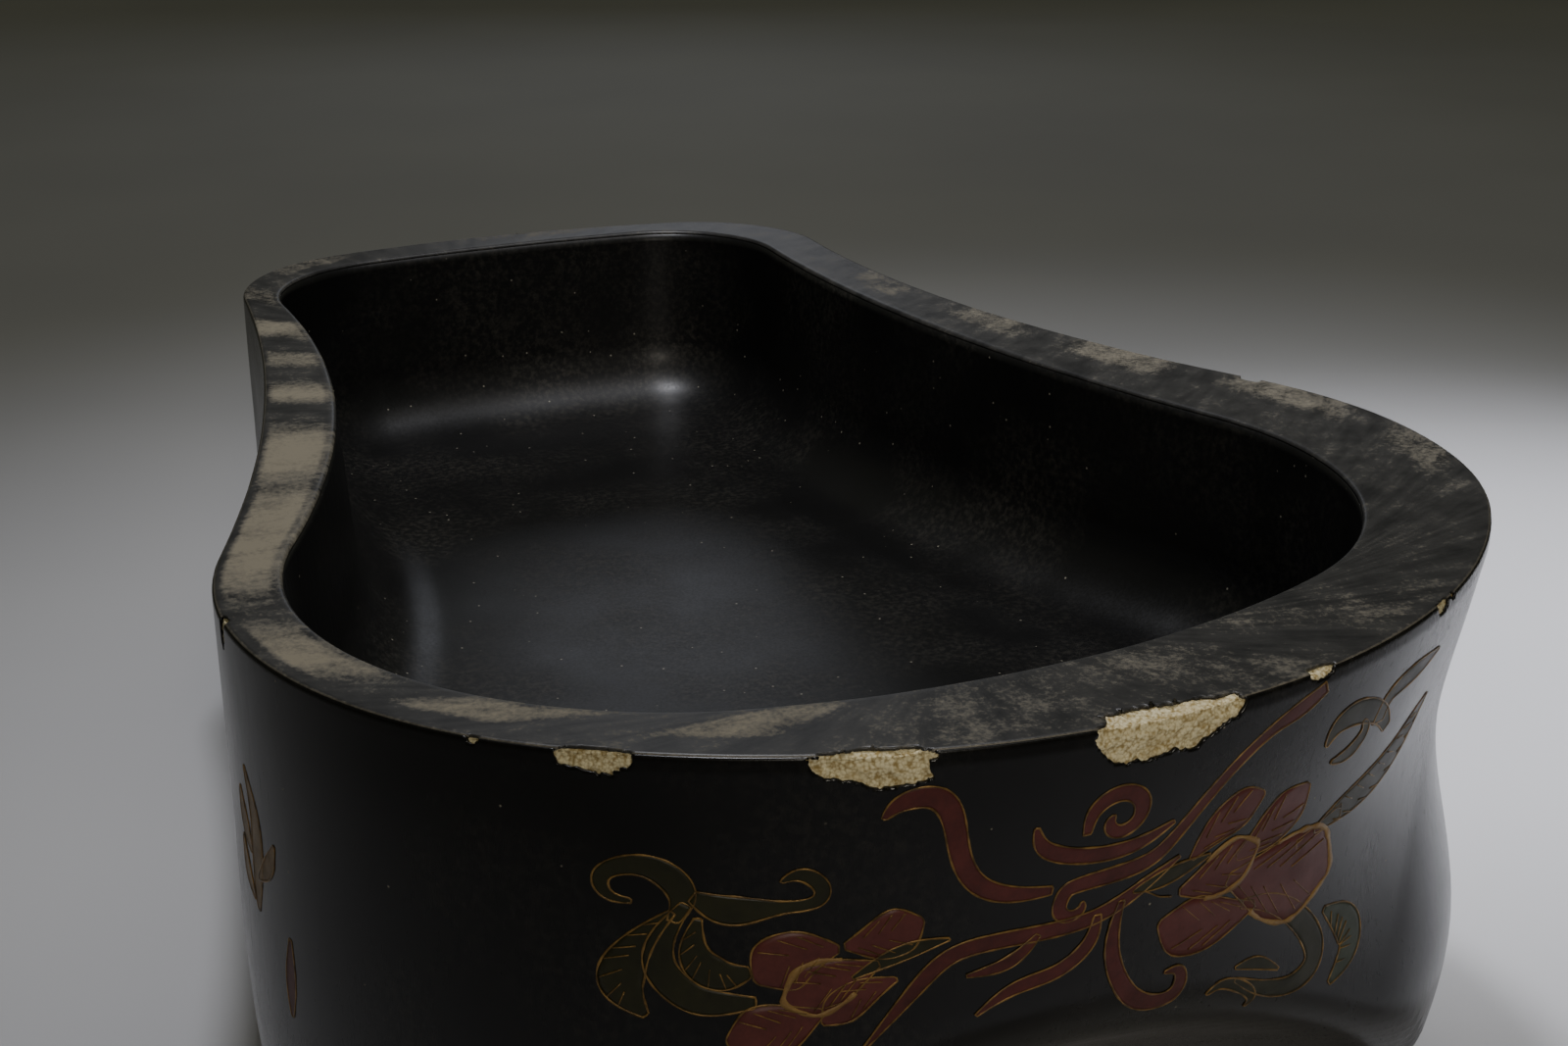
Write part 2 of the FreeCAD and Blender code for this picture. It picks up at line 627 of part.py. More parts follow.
# ---------------------------------------------------------------- sub-parts
SUB_PARTS = {
    "core_wall_left": core_wall_left,
    "core_wall_right": core_wall_right,
    "core_floor_block": core_floor_block,
    "core_base_board": core_base_board,
    "seam_dowels": seam_dowels,
    "wall_pegs": wall_pegs,
    "base_pegs": base_pegs,
    "foot_plate": foot_plate,
    "hemp_cloth_wrap": hemp_cloth,
    "ash_ground_outer": outer_ash,
    "ash_ground_inner": inner_ash,
    "ash_ground_rim": rim_ash,
    "underside_coat": underside_coat,
    "lacquer_outer": outer_lacquer,
    "lacquer_inner": inner_lacquer,
    "lacquer_rim": rim_lacquer,
}
SUB_PARTS.update(inlays)
for label, item in SUB_PARTS.items():
    item.Label = label

doc.recompute()
for item in doc.Objects:
    failed = [word for word in ("Invalid", "Error") if word in item.State]
    if failed:
        raise RuntimeError("%s is %s" % (item.Label, failed[0]))
for label, item in SUB_PARTS.items():
    if item.Shape.isNull() or not item.Shape.isValid():
        raise RuntimeError("%s has no sound shape" % label)

os.makedirs("parts", exist_ok=True)
for label, item in SUB_PARTS.items():
    item.Shape.exportStep(os.path.join("parts", label + ".step"))
    box = item.Shape.optimalBoundingBox(False, False)
    print("%-24s %2d solid(s) %10.1f mm3  z %.2f to %.2f" % (
        label, len(item.Shape.Solids), item.Shape.Volume, box.ZMin, box.ZMax))
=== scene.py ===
# %% [markdown]
# # A lacquered go stone bowl
# The bowl is a wooden core wrapped in cloth, levelled with an ash ground and finished with
# many coats of black lacquer. Its wide end has two lobes, its flanks are hollow, and the
# rim is cut flat. The first cell loads the measured parts, so everything here is built in
# their frame, in metres, with the table at z = 0 and the narrow end towards +Y.

# %% Load the frame
import bpy
import math
import numpy as np
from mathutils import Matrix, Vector, noise
from mathutils.bvhtree import BVHTree


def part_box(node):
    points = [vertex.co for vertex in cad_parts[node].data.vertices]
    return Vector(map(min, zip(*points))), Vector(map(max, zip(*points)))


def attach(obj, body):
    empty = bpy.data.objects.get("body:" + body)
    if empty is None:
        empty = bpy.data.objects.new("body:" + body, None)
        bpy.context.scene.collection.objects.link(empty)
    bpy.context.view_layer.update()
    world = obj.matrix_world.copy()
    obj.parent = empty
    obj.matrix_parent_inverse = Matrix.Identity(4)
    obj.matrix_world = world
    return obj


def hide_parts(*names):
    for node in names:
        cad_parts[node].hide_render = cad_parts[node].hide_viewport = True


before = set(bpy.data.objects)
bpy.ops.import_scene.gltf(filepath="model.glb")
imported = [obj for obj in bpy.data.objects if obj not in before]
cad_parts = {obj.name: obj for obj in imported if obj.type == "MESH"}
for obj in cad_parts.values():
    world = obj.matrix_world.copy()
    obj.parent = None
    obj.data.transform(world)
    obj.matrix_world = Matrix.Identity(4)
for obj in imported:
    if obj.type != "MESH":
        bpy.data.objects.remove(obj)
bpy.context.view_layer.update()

MM = 0.001
RIM_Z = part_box("lacquer_rim")[1].z / MM
FOOT_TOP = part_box("foot_plate")[1].z / MM
FLOOR_Z = (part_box("lacquer_inner")[0].z / MM) + 0.4
HALF_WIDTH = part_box("lacquer_rim")[1].x / MM
print("rim at", round(RIM_Z, 2), "mm, half width", round(HALF_WIDTH, 2), "mm")

# %% [markdown]
# ## The plan as a chain of arcs
# A bench worker would draw this outline with a compass: four round lobes, joined by arcs
# that just touch them. Drawing it the same way keeps every curve tangent, which matters on
# polished lacquer, because a reflection shows the smallest kink. Each lobe is written as
# (across, back, radius) and each joining arc as a radius, negative where it is hollow.

# %% Outlines
RIM_LOBES = [(HALF_WIDTH - 62.5, -50, 62.5), (34, 98.5, 26), (-25, 93.5, 31),
             (63 - HALF_WIDTH, -58, 63)]
RIM_LINKS = [-230, 190, -500, 103.7]
CAVITY_LOBES = [(HALF_WIDTH - 72, -53, 51), (27, 96, 22), (-24, 90, 26),
                (61 - HALF_WIDTH, -57, 52)]
CAVITY_LINKS = [-330, 265, -275, 129.2]


def touching_centre(first, second, radius):
    """Centre of the arc that touches two lobes, going anticlockwise."""
    reach = [abs(radius - lobe[2]) for lobe in (first, second)]
    step = np.array(second[:2], float) - np.array(first[:2], float)
    apart = np.hypot(*step)
    along = (reach[0] ** 2 - reach[1] ** 2 + apart ** 2) / (2 * apart)
    off = math.copysign(math.sqrt(reach[0] ** 2 - along ** 2), radius)
    sideways = np.array([-step[1], step[0]])
    return np.array(first[:2]) + (along * step + off * sideways) / apart


def outline(lobes, links, shares):
    """Points round the plan, at the given shares of each lobe and each joining arc."""
    count = len(lobes)
    centres = [touching_centre(lobes[i], lobes[(i + 1) % count], links[i])
               for i in range(count)]

    def touch(i, j):
        away = np.array(lobes[j][:2], float) - centres[i]
        away *= math.copysign(1.0, links[i]) / np.hypot(*away)
        return math.atan2(away[1], away[0])

    points = []
    for i in range(count):
        start = touch(i - 1, i)
        end = touch(i, i)
        end += 2 * math.pi * (end < start)
        turn = start + (end - start) * shares[2 * i]
        points.append(np.array(lobes[i][:2]) + lobes[i][2] * np.stack(
            [np.cos(turn), np.sin(turn)], 1))
        start = touch(i, i)
        end = touch(i, (i + 1) % count)
        bend = (end - start + math.pi) % (2 * math.pi) - math.pi
        turn = start + bend * shares[2 * i + 1]
        points.append(centres[i] + links[i] * np.stack([np.cos(turn), np.sin(turn)], 1))
    return np.vstack(points)


# %% [markdown]
# ## Where the mesh has to be fine
# Old lacquer breaks off at the rim and shows the ground under it. Those breaks need
# facets of a quarter of a millimetre, and the rest of the wall doesn't, so the columns
# of the mesh crowd together near each break and spread out elsewhere.

# %% Breaks along the rim, and the columns that follow from them
# each break: (across, back) of its middle, half its length, reach down the wall,
# reach into the rim
BREAKS = [
    ((-90.2, -57.5), 1.3, 3.6, 0.8),
    ((-72.3, -101.8), 0.8, 0.9, 0.3),
    ((-62.3, -112.0), 4.2, 2.6, 1.0),
    ((-34.5, -123.6), 6.6, 3.9, 1.4),
    ((-1.5, -127.2), 8.0, 5.6, 3.2),
    ((6.5, -126.9), 4.0, 3.0, 2.4),
    ((22.6, -123.9), 2.4, 1.5, 1.2),
    ((48.9, -112.5), 1.9, 1.3, 0.7),
    ((51.8, -110.6), 0.8, 0.8, 0.5),
    ((7.5, 127.0), 1.4, 1.0, 1.0),
    ((85.5, -21.0), 2.2, 1.2, 2.0),
]
COARSE_STEP = 1.9
FINE_STEP = 0.32
FINE_MARGIN = 2.0


def column_shares():
    """Shares of each arc at which the mesh has a column, finer near the breaks."""
    even = [np.linspace(0, 1, 400, endpoint=False)] * 8
    points = outline(RIM_LOBES, RIM_LINKS, even).reshape(8, 400, 2)
    shares = []
    for arc in range(8):
        following = points[(arc + 1) % 8][:1]
        run = np.vstack([points[arc], following])
        lengths = np.hypot(*np.diff(run, axis=0).T)
        middles = (run[1:] + run[:-1]) / 2
        step = np.full(len(middles), COARSE_STEP)
        for place, half, _, _ in BREAKS:
            near = np.hypot(*(middles - np.array(place)).T) < half + FINE_MARGIN
            step[near] = FINE_STEP
        crossed = np.concatenate([[0], np.cumsum(lengths / step)])
        count = max(3, int(math.ceil(crossed[-1])))
        wanted = np.arange(count) * crossed[-1] / count
        shares.append(np.interp(wanted, crossed, np.linspace(0, 1, 401)))
    return shares


SHARES = column_shares()
RIM_LINE = outline(RIM_LOBES, RIM_LINKS, SHARES)
CAVITY_LINE = outline(CAVITY_LOBES, CAVITY_LINKS, SHARES)
COLUMNS = len(RIM_LINE)
print(COLUMNS, "columns round the bowl")

# %% [markdown]
# ## The outer wall
# From the rim down, the wall draws in to a waist, swells again and turns under to the
# foot. A smooth curve through a few levels describes it, as a lofted surface does. A
# natural cubic spline, solved once for all columns, gives the outline at any height.

# %% Levels of the wall and the spline through them
BULGE_Z = 29.0
TURN_INSET = 9.0


def level(height, inset_right, inset_left, front_radius):
    insets = [inset_right, inset_right, inset_left, inset_left]
    lobes = [(x, y, r - inset) for (x, y, r), inset in zip(RIM_LOBES, insets)]
    return height, outline(lobes, RIM_LINKS[:3] + [front_radius], SHARES)


def turned_level(degrees, lowest=80):
    """A level of the quarter turn between swelling and foot."""
    angle, last = math.radians(degrees), math.radians(lowest)
    drop = (BULGE_Z - FOOT_TOP) * math.sin(angle) / math.sin(last)
    inset = TURN_INSET * (1 - math.cos(angle)) / (1 - math.cos(last))
    return level(BULGE_Z - drop, inset - 0.4, inset + 1.0, 200.2)


LEVELS = [turned_level(80), turned_level(58), turned_level(34), turned_level(0),
          level(65, 4.2, 0.3, 116.5), level(80, 1.6, 0.1, 107.4),
          level(RIM_Z - 2.1, 0, 0, 103.7)]
LEVEL_Z = np.array([z for z, _ in LEVELS])
LEVEL_XY = np.array([xy for _, xy in LEVELS])


def spline_slopes(knots, values):
    """Second slopes of the natural cubic spline through values at the knots."""
    count = len(knots)
    gap = np.diff(knots)
    system = np.eye(count)
    right = np.zeros_like(values)
    for i in range(1, count - 1):
        system[i, i - 1:i + 2] = gap[i - 1], 2 * (gap[i - 1] + gap[i]), gap[i]
        right[i] = 6 * ((values[i + 1] - values[i]) / gap[i]
                        - (values[i] - values[i - 1]) / gap[i - 1])
    return np.linalg.solve(system, right.reshape(count, -1)).reshape(values.shape)


def spline_at(knots, values, bend, x):
    """The spline's value at x, which lies between the first and last knot."""
    i = int(np.clip(np.searchsorted(knots, x) - 1, 0, len(knots) - 2))
    gap = knots[i + 1] - knots[i]
    a = (knots[i + 1] - x) / gap
    b = 1 - a
    return (a * values[i] + b * values[i + 1]
            + ((a ** 3 - a) * bend[i] + (b ** 3 - b) * bend[i + 1]) * gap ** 2 / 6)


LEVEL_BEND = spline_slopes(LEVEL_Z, LEVEL_XY)


def wall_ring(z):
    """The outer outline at a height; the rim's plan from the top level up."""
    if z >= LEVEL_Z[-1]:
        return RIM_LINE.copy()
    return spline_at(LEVEL_Z, LEVEL_XY, LEVEL_BEND, z)


# %% [markdown]
# ## The scooped underside
# Under the wide end the maker cut the bowl away with one slanting vault, so the front
# seems to float and the foot stands well back. The vault is a long round form that slopes
# down from the front. Wall points that lie in it are pushed back until they touch it, and
# the meeting edge is eased, as a scraper would leave it.

# %% The vault that cuts the underside
SCOOP_RADIUS = 200.0
SCOOP_CROWN = (-10.0, -128.0, 52.0)
SCOOP_SLOPE = math.radians(36)
EASED = 9.0


def scooped(points):
    """Pushes points in the vault straight back until they lie on it."""
    across, back, up = (points[:, k] - SCOOP_CROWN[k] for k in range(3))
    above = back * math.sin(SCOOP_SLOPE) + up * math.cos(SCOOP_SLOPE) + SCOOP_RADIUS
    crown = np.sqrt(SCOOP_RADIUS ** 2 - across ** 2)
    push = (crown - above) / math.sin(SCOOP_SLOPE)
    eased = np.where(np.abs(push) < EASED, (push + EASED) ** 2 / (4 * EASED),
                     np.maximum(push, 0))
    moved = points.copy()
    moved[:, 1] += eased
    return moved


# %% [markdown]
# ## One grid over wall, edge and rim
# Wall, rounded edge and flat rim are one run of rows, so the breaks can cross the edge
# without a seam. The run is measured along the profile: below zero down the wall, above
# zero into the rim. Rows are close together near the edge and wider apart below.

# %% Rows of the outside
EDGE_RADIUS = 0.7
RIM_ROWS = 24


def wall_depths():
    """Distances below the edge at which the wall has a row, fine near the edge."""
    deepest = RIM_Z - FOOT_TOP - EDGE_RADIUS
    depths = [0.0]
    while depths[-1] < deepest:
        step = FINE_STEP + 2.3 * min(1.0, max(0.0, depths[-1] - 6.5) / 22.0)
        depths.append(min(depths[-1] + step, deepest))
    return depths[::-1]


def inward_from(line):
    """Unit vectors that point into the plan, square to the outline."""
    along = np.roll(line, -1, axis=0) - np.roll(line, 1, axis=0)
    along /= np.hypot(*along.T)[:, None]
    return np.stack([-along[:, 1], along[:, 0]], 1)


def at_height(ring, z):
    return np.column_stack([ring, np.full(COLUMNS, z)])


RIM_INWARD = inward_from(RIM_LINE)
TOP_OUTER = RIM_LINE + RIM_INWARD * EDGE_RADIUS
CAVITY_INWARD = inward_from(CAVITY_LINE)
TOP_INNER = CAVITY_LINE - CAVITY_INWARD * EDGE_RADIUS
CORNER = EDGE_RADIUS * math.pi / 4
grid_rows, grid_run = [], []
for depth in wall_depths():
    z = RIM_Z - EDGE_RADIUS - depth
    grid_rows.append(scooped(at_height(wall_ring(z), z)))
    grid_run.append(np.full(COLUMNS, -depth - CORNER))
WALL_ROWS = len(grid_rows)
for lift in np.radians([22.5, 45.0, 67.5]):
    ring = RIM_LINE + RIM_INWARD * EDGE_RADIUS * (1 - math.cos(lift))
    grid_rows.append(at_height(ring, RIM_Z - EDGE_RADIUS * (1 - math.sin(lift))))
    grid_run.append(np.full(COLUMNS, EDGE_RADIUS * (lift - math.pi / 4)))
EDGE_ROW = WALL_ROWS + 1
rim_width = np.hypot(*(TOP_INNER - TOP_OUTER).T)
for share in np.linspace(0, 1, RIM_ROWS) ** 1.5:
    grid_rows.append(at_height(TOP_OUTER + (TOP_INNER - TOP_OUTER) * share, RIM_Z))
    grid_run.append(rim_width * share + CORNER)
for lift in np.radians([67.5, 45.0, 22.5, 0.0]):
    ring = CAVITY_LINE - CAVITY_INWARD * EDGE_RADIUS * (1 - math.cos(lift))
    grid_rows.append(at_height(ring, RIM_Z - EDGE_RADIUS * (1 - math.sin(lift))))
    grid_run.append(rim_width + CORNER * 2)
GRID = np.array(grid_rows)
RUN = np.array(grid_run)
ROWS = len(GRID)
print("outside grid", ROWS, "rows by", COLUMNS, "columns")


def grid_normals(grid):
    """Outward normals of a grid that closes round its columns."""
    round_it = np.roll(grid, -1, axis=1) - np.roll(grid, 1, axis=1)
    up_it = np.gradient(grid, axis=0)
    normals = np.cross(round_it, up_it)
    return normals / np.linalg.norm(normals, axis=2, keepdims=True)


# %% [markdown]
# ## A hand-made surface
# Lacquer rubbed down by hand is never quite even, and long reflections wander on it. Two
# slow swells of about a tenth of a millimetre are enough to bend a reflection, and far
# too small to see as a shape.

# %% Swells in the wall
def swell(point, size, seed):
    return noise.noise(Vector(point) / size + Vector((seed, 2 * seed, -seed)))


def swell_field(grid, fine):
    """Height of the swells over a grid, fine for the shorter ripples."""
    field = np.zeros(grid.shape[:2])
    for i, row in enumerate(grid):
        for j, point in enumerate(row):
            flat = (point[0], point[1], point[2] * 0.6)
            field[i, j] = 0.10 * swell(flat, 38.0, 3.1) + fine * swell(flat, 13.0, 8.7)
    return field


NORMALS = grid_normals(GRID)
GRID = GRID + NORMALS * swell_field(GRID, 0.035)[:, :, None]
NORMALS = grid_normals(GRID)

# %% [markdown]
# ## Where the lacquer broke away
# Each break is a rough oval across the edge, bitten ragged by noise. The field below is
# about the distance inside the nearest break in millimetres, and negative where the
# lacquer still holds.

# %% The field of the breaks
ARC = np.concatenate([[0], np.cumsum(np.hypot(*np.diff(RIM_LINE, axis=0).T))])
PERIMETER = ARC[-1] + np.hypot(*(RIM_LINE[0] - RIM_LINE[-1]))


def distances_from(place):
    """Every column's distance along the rim from the column nearest to a place."""
    middle = int(np.argmin(np.hypot(*(RIM_LINE - np.array(place)).T)))
    return (ARC - ARC[middle] + PERIMETER / 2) % PERIMETER - PERIMETER / 2


BREAK = np.full((ROWS, COLUMNS), -5.0)
for number, (place, half, reach_down, reach_in) in enumerate(BREAKS):
    along = distances_from(place)
    for j in np.flatnonzero(np.abs(along) < half + 2.0):
        for i in range(ROWS):
            run = RUN[i, j]
            if not -reach_down - 2.0 < run < reach_in + 2.0:
                continue
            reach = reach_down if run < 0 else reach_in
            inside = 1 - abs(along[j] / half) ** 2.6 - abs(run / reach) ** 2.4
            scale = min(half, reach_down) * 0.55
            ragged = (0.85 * noise.noise(Vector((along[j] * 0.30, run * 0.42, number * 7.0)))
                      + 0.30 * noise.noise(Vector((along[j] * 1.2, run * 1.2, number * 3.0))))
            BREAK[i, j] = max(BREAK[i, j], scale * (inside + ragged))
print("broken facets", int((BREAK > 0).sum()), "of", BREAK.size)

# %% [markdown]
# ## Pieces from grids
# A piece starts as points and facets, and a Solidify modifier turns the sheet into a thin
# closed skin. Points on the border of a break slide along the surface to the exact line
# of the break, so its outline runs smoothly instead of in steps.

# %% Mesh helpers
def slide_to_line(grid, field):
    """Moves the grid's points beside the field's zero line on to it."""
    by_row, by_column = np.gradient(field)
    steepness = by_row ** 2 + by_column ** 2 + 1e-9
    near = np.abs(field) < 0.75 * np.sqrt(steepness)
    rows = np.clip(np.where(near, -field * by_row / steepness, 0), -0.6, 0.6)
    columns = np.clip(np.where(near, -field * by_column / steepness, 0), -0.6, 0.6)
    across = (np.roll(grid, -1, axis=1) - np.roll(grid, 1, axis=1)) / 2
    upward = np.gradient(grid, axis=0)
    return grid + upward * rows[:, :, None] + across * columns[:, :, None]


def new_piece(name, points, facets, material, body="root"):
    """A mesh piece from points in millimetres, smooth shaded, riding on the bowl."""
    mesh = bpy.data.meshes.new(name)
    mesh.from_pydata((np.asarray(points) * MM).tolist(), [], facets)
    mesh.polygons.foreach_set("use_smooth", [True] * len(mesh.polygons))
    mesh.materials.append(material)
    piece = bpy.data.objects.new(name, mesh)
    bpy.context.scene.collection.objects.link(piece)
    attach(piece, body)
    print(name, len(mesh.vertices), "points")
    return piece


def give_thickness(piece, millimetres):
    """Closes a sheet into a skin that grows inward."""
    solid = piece.modifiers.new("thickness", "SOLIDIFY")
    solid.thickness = millimetres * MM
    solid.offset = -1.0
    solid.use_even_offset = False
    return piece


def grid_facets(first, last, keep):
    """Quads between rows first and last where keep says so, closing round the bowl."""
    facets = []
    for i in range(first, last):
        for j in range(COLUMNS):
            if keep is None or keep[i, j]:
                k = (j + 1) % COLUMNS
                facets.append((i * COLUMNS + j, i * COLUMNS + k,
                               (i + 1) * COLUMNS + k, (i + 1) * COLUMNS + j))
    return facets


def compact(points, facets):
    """Drops the points that no facet uses."""
    used = sorted({v for facet in facets for v in facet})
    index = {v: n for n, v in enumerate(used)}
    return points[used], [tuple(index[v] for v in facet) for facet in facets], used


def store(piece, name, values):
    """Keeps one number per point on the mesh for the finish to read."""
    layer = piece.data.attributes.new(name, "FLOAT", "POINT")
    layer.data.foreach_set("value", np.asarray(values, np.float32))


# %% [markdown]
# ## Colours
# Colours are written as the eye sees them and turned linear here.

# %% Colours and the node helper
def colour(code):
    """Linear colour of an sRGB hex code."""
    parts = [int(code[i:i + 2], 16) / 255 for i in (1, 3, 5)]
    return tuple(p / 12.92 if p <= 0.04045 else ((p + 0.055) / 1.055) ** 2.4
                 for p in parts) + (1.0,)


def feed(tree, node, inputs):
    """Fills a node's inputs with values, or with the sockets that feed them."""
    for name, value in inputs.items():
        if isinstance(value, bpy.types.NodeSocket):
            tree.links.new(value, node.inputs[name])
        else:
            node.inputs[name].default_value = value
    return node


def add(tree, kind, inputs=None, **settings):
    """Adds a shader node with its settings and inputs."""
    made = tree.nodes.new("ShaderNode" + kind)
    for name, value in settings.items():
        setattr(made, name, value)
    return feed(tree, made, inputs or {})


def new_material(name):
    """An empty node material with its surface shader; returns tree and shader."""
    material = bpy.data.materials.new(name)
    material.use_nodes = True
    tree = material.node_tree
    tree.nodes.clear()
    shader = add(tree, "BsdfPrincipled")
    output = add(tree, "OutputMaterial")
    tree.links.new(shader.outputs["BSDF"], output.inputs["Surface"])
    return material, tree, shader


def object_place(tree):
    return add(tree, "TexCoord").outputs["Object"]


def noise_of(tree, size_mm, detail=3.0, roughness=0.5, place=None):
    """Noise whose features are about size_mm across."""
    return add(tree, "TexNoise", {"Vector": place or object_place(tree),
                                  "Scale": 1.0 / (size_mm * MM), "Detail": detail,
                                  "Roughness": roughness}).outputs["Fac"]


def ramp(tree, value, low, high, to_low=0.0, to_high=1.0):
    """Maps value from low..high to to_low..to_high, held at the ends."""
    return add(tree, "MapRange", {"Value": value, "From Min": low, "From Max": high,
                                  "To Min": to_low, "To Max": to_high}).outputs["Result"]


def maths(tree, operation, a, b):
    return add(tree, "Math", {0: a, 1: b}, operation=operation).outputs[0]


def weighted(tree, *pairs):
    """The sum of values, each times its weight."""
    terms = [maths(tree, "MULTIPLY", value, weight) for value, weight in pairs]
    total = terms[0]
    for term in terms[1:]:
        total = maths(tree, "ADD", total, term)
    return total


def mixed(tree, factor, first, second):
    """Mixes two colours by a factor."""
    return add(tree, "Mix", {0: factor, 6: first, 7: second}, data_type="RGBA").outputs[2]


def bumped(tree, height, millimetres, strength=1.0):
    """A bump from a height between 0 and 1 that stands for millimetres."""
    return add(tree, "Bump", {"Height": height, "Distance": millimetres * MM,
                              "Strength": strength}).outputs["Normal"]


# %% [markdown]
# ## Polished black lacquer
# Urushi with lamp black dries to a hard film of refractive index about 1.5. Rubbed down
# with charcoal and polished, it reflects softly, and age adds a haze of fine scratches
# and dust, which takes some of the mirror away: the specular level is set below the usual
# half for that. The eye gets long grey reflections on a body that is nearly black.

# %% Black lacquer
def black_lacquer(name, base, roughness_low, roughness_high, dust, speck_share):
    material, tree, shader = new_material(name)
    cloud = noise_of(tree, 26.0, 4.0, 0.55)
    fine = noise_of(tree, 1.1, 5.0, 0.65)
    stretched = add(tree, "Mapping", {"Vector": object_place(tree),
                                      "Scale": (1.0, 1.0, 0.12)}).outputs["Vector"]
    hairs = noise_of(tree, 0.45, 2.0, 0.5, stretched)
    haze = ramp(tree, cloud, 0.42, 0.72)
    grime = maths(tree, "MULTIPLY", haze, ramp(tree, fine, 0.45, 0.7))
    body = mixed(tree, maths(tree, "MULTIPLY", grime, dust), colour(base), colour("#6f6a5f"))
    specks = add(tree, "TexVoronoi", {"Vector": object_place(tree), "Scale": 1 / (2.6 * MM)})
    speck = ramp(tree, specks.outputs["Distance"], 0.05, 0.085, 1.0, 0.0)
    chosen = ramp(tree, add(tree, "SeparateColor", {
        "Color": specks.outputs["Color"]}).outputs["Red"],
        1 - speck_share, 1.001 - speck_share)
    body = mixed(tree, maths(tree, "MULTIPLY", maths(tree, "MULTIPLY", speck, chosen), 0.65),
                 body, colour("#a29c8c"))
    gloss = ramp(tree, weighted(tree, (cloud, 0.6), (hairs, 0.4)), 0.35, 0.7,
                 roughness_low, roughness_high)
    feed(tree, shader, {"Base Color": body, "IOR": 1.52, "Specular IOR Level": 0.35,
                        "Roughness": gloss, "Normal": bumped(tree, hairs, 0.004, 0.6)})
    return material


OUTER_LACQUER = black_lacquer("lacquer_black_polished", "#0b0a0a", 0.19, 0.32, 0.10, 0.10)
LINING_LACQUER = black_lacquer("lacquer_black_lining", "#131313", 0.28, 0.44, 0.22, 0.38)
UNDER_LACQUER = black_lacquer("lacquer_black_underside", "#100e0d", 0.30, 0.45, 0.3, 0.3)
FOOT_LACQUER = black_lacquer("lacquer_brown_foot", "#1d1613", 0.38, 0.5, 0.35, 0.3)

# %% [markdown]
# ## The worn rim
# Hands and a lid have rubbed the rim dull. Its lacquer is scratched to a charcoal grey,
# and pale dust lies in bands across it where the surface is roughest. Two numbers kept
# on the mesh say where: dust for the pale bands, and rubbed wear with a painted glint
# for both rounded edges.

# %% Worn rim lacquer
def worn_rim_lacquer():
    material, tree, shader = new_material("lacquer_rim_rubbed_dull")
    dust = add(tree, "Attribute", attribute_name="dust").outputs["Fac"]
    edge_wear_and_glint = add(tree, "Attribute", attribute_name="edge_wear_and_glint").outputs["Fac"]
    patches = noise_of(tree, 7.0, 5.0, 0.62)
    grain = noise_of(tree, 0.7, 4.0, 0.7)
    across = add(tree, "Attribute", attribute_name="across").outputs["Vector"]
    streak = add(tree, "TexNoise", {"Vector": across, "Scale": 1.0, "Detail": 4.0,
                                    "Roughness": 0.6}).outputs["Fac"]
    rubbed = ramp(tree, weighted(tree, (patches, 0.5), (streak, 0.5)), 0.36, 0.66)
    ground = mixed(tree, rubbed, colour("#1b1b1c"), colour("#3f3e3c"))
    laid = weighted(tree, (dust, 1.0), (patches, 1.0), (streak, 0.7), (grain, 1.5))
    laid = ramp(tree, laid, 1.75, 2.55)
    body = mixed(tree, maths(tree, "MULTIPLY", laid, 0.85), ground, colour("#8c8470"))
    # Painted glint: the lighter colour along both rounded edges stands in for the light they
    # catch, laid over their rubbed wear.
    rubbed_edge_and_glint = ramp(tree, weighted(tree, (edge_wear_and_glint, 1.0), (grain, 0.5)), 1.0, 1.3)
    body = mixed(tree, rubbed_edge_and_glint, body, colour("#7d776a"))
    pits = weighted(tree, (grain, 0.6), (streak, 0.4))
    feed(tree, shader, {"Base Color": body, "IOR": 1.5,
                        "Roughness": ramp(tree, laid, 0.0, 1.0, 0.40, 0.85),
                        "Normal": bumped(tree, pits, 0.05, 0.5)})
    return material


RIM_LACQUER = worn_rim_lacquer()

# %% [markdown]
# ## The ash ground
# Under the lacquer lies a paste of fired ash and raw lacquer, brushed on and ground
# level. Where it breaks it shows a crumbly cream-yellow, with grains of a third of a
# millimetre and darker hollows between them.

# %% Ash ground
def ash_ground():
    material, tree, shader = new_material("ash_ground_broken")
    grains = add(tree, "TexVoronoi", {"Vector": object_place(tree), "Scale": 1 / (0.42 * MM),
                                      "Randomness": 1.0}).outputs["Distance"]
    crumbs = noise_of(tree, 0.9, 6.0, 0.7)
    stain = noise_of(tree, 3.2, 3.0, 0.5)
    height = weighted(tree, (grains, -0.5), (crumbs, 1.1))
    body = mixed(tree, ramp(tree, height, 0.08, 0.42), colour("#a58f5c"), colour("#efe4bd"))
    body = mixed(tree, ramp(tree, stain, 0.52, 0.75, 0.0, 0.5), body, colour("#b7a270"))
    feed(tree, shader, {"Base Color": body, "Roughness": 0.95, "IOR": 1.45,
                        "Normal": bumped(tree, height, 0.22, 0.9)})
    return material


ASH_GROUND = ash_ground()

# %% [markdown]
# ## Coloured lacquers and gilt lines
# The ornament is filled with lacquer ground with cinnabar, madder or orpiment and
# indigo, rubbed thin with age so that the black shows through. It is duller than the
# ground around it. Its incised outlines were filled with gold, now mostly dull brown.

# %% Coloured lacquers
def filled_lacquer(name, base, thin, streak_mm):
    material, tree, shader = new_material(name)
    cloud = noise_of(tree, 5.0, 4.0, 0.6)
    fine = noise_of(tree, streak_mm, 4.0, 0.65)
    worn = ramp(tree, weighted(tree, (cloud, 0.65), (fine, 0.35)), 0.36, 0.72)
    feed(tree, shader, {"Base Color": mixed(tree, worn, colour(base), colour(thin)),
                        "IOR": 1.52, "Specular IOR Level": 0.3,
                        "Roughness": ramp(tree, cloud, 0.3, 0.7, 0.38, 0.52),
                        "Normal": bumped(tree, fine, 0.006, 0.4)})
    return material


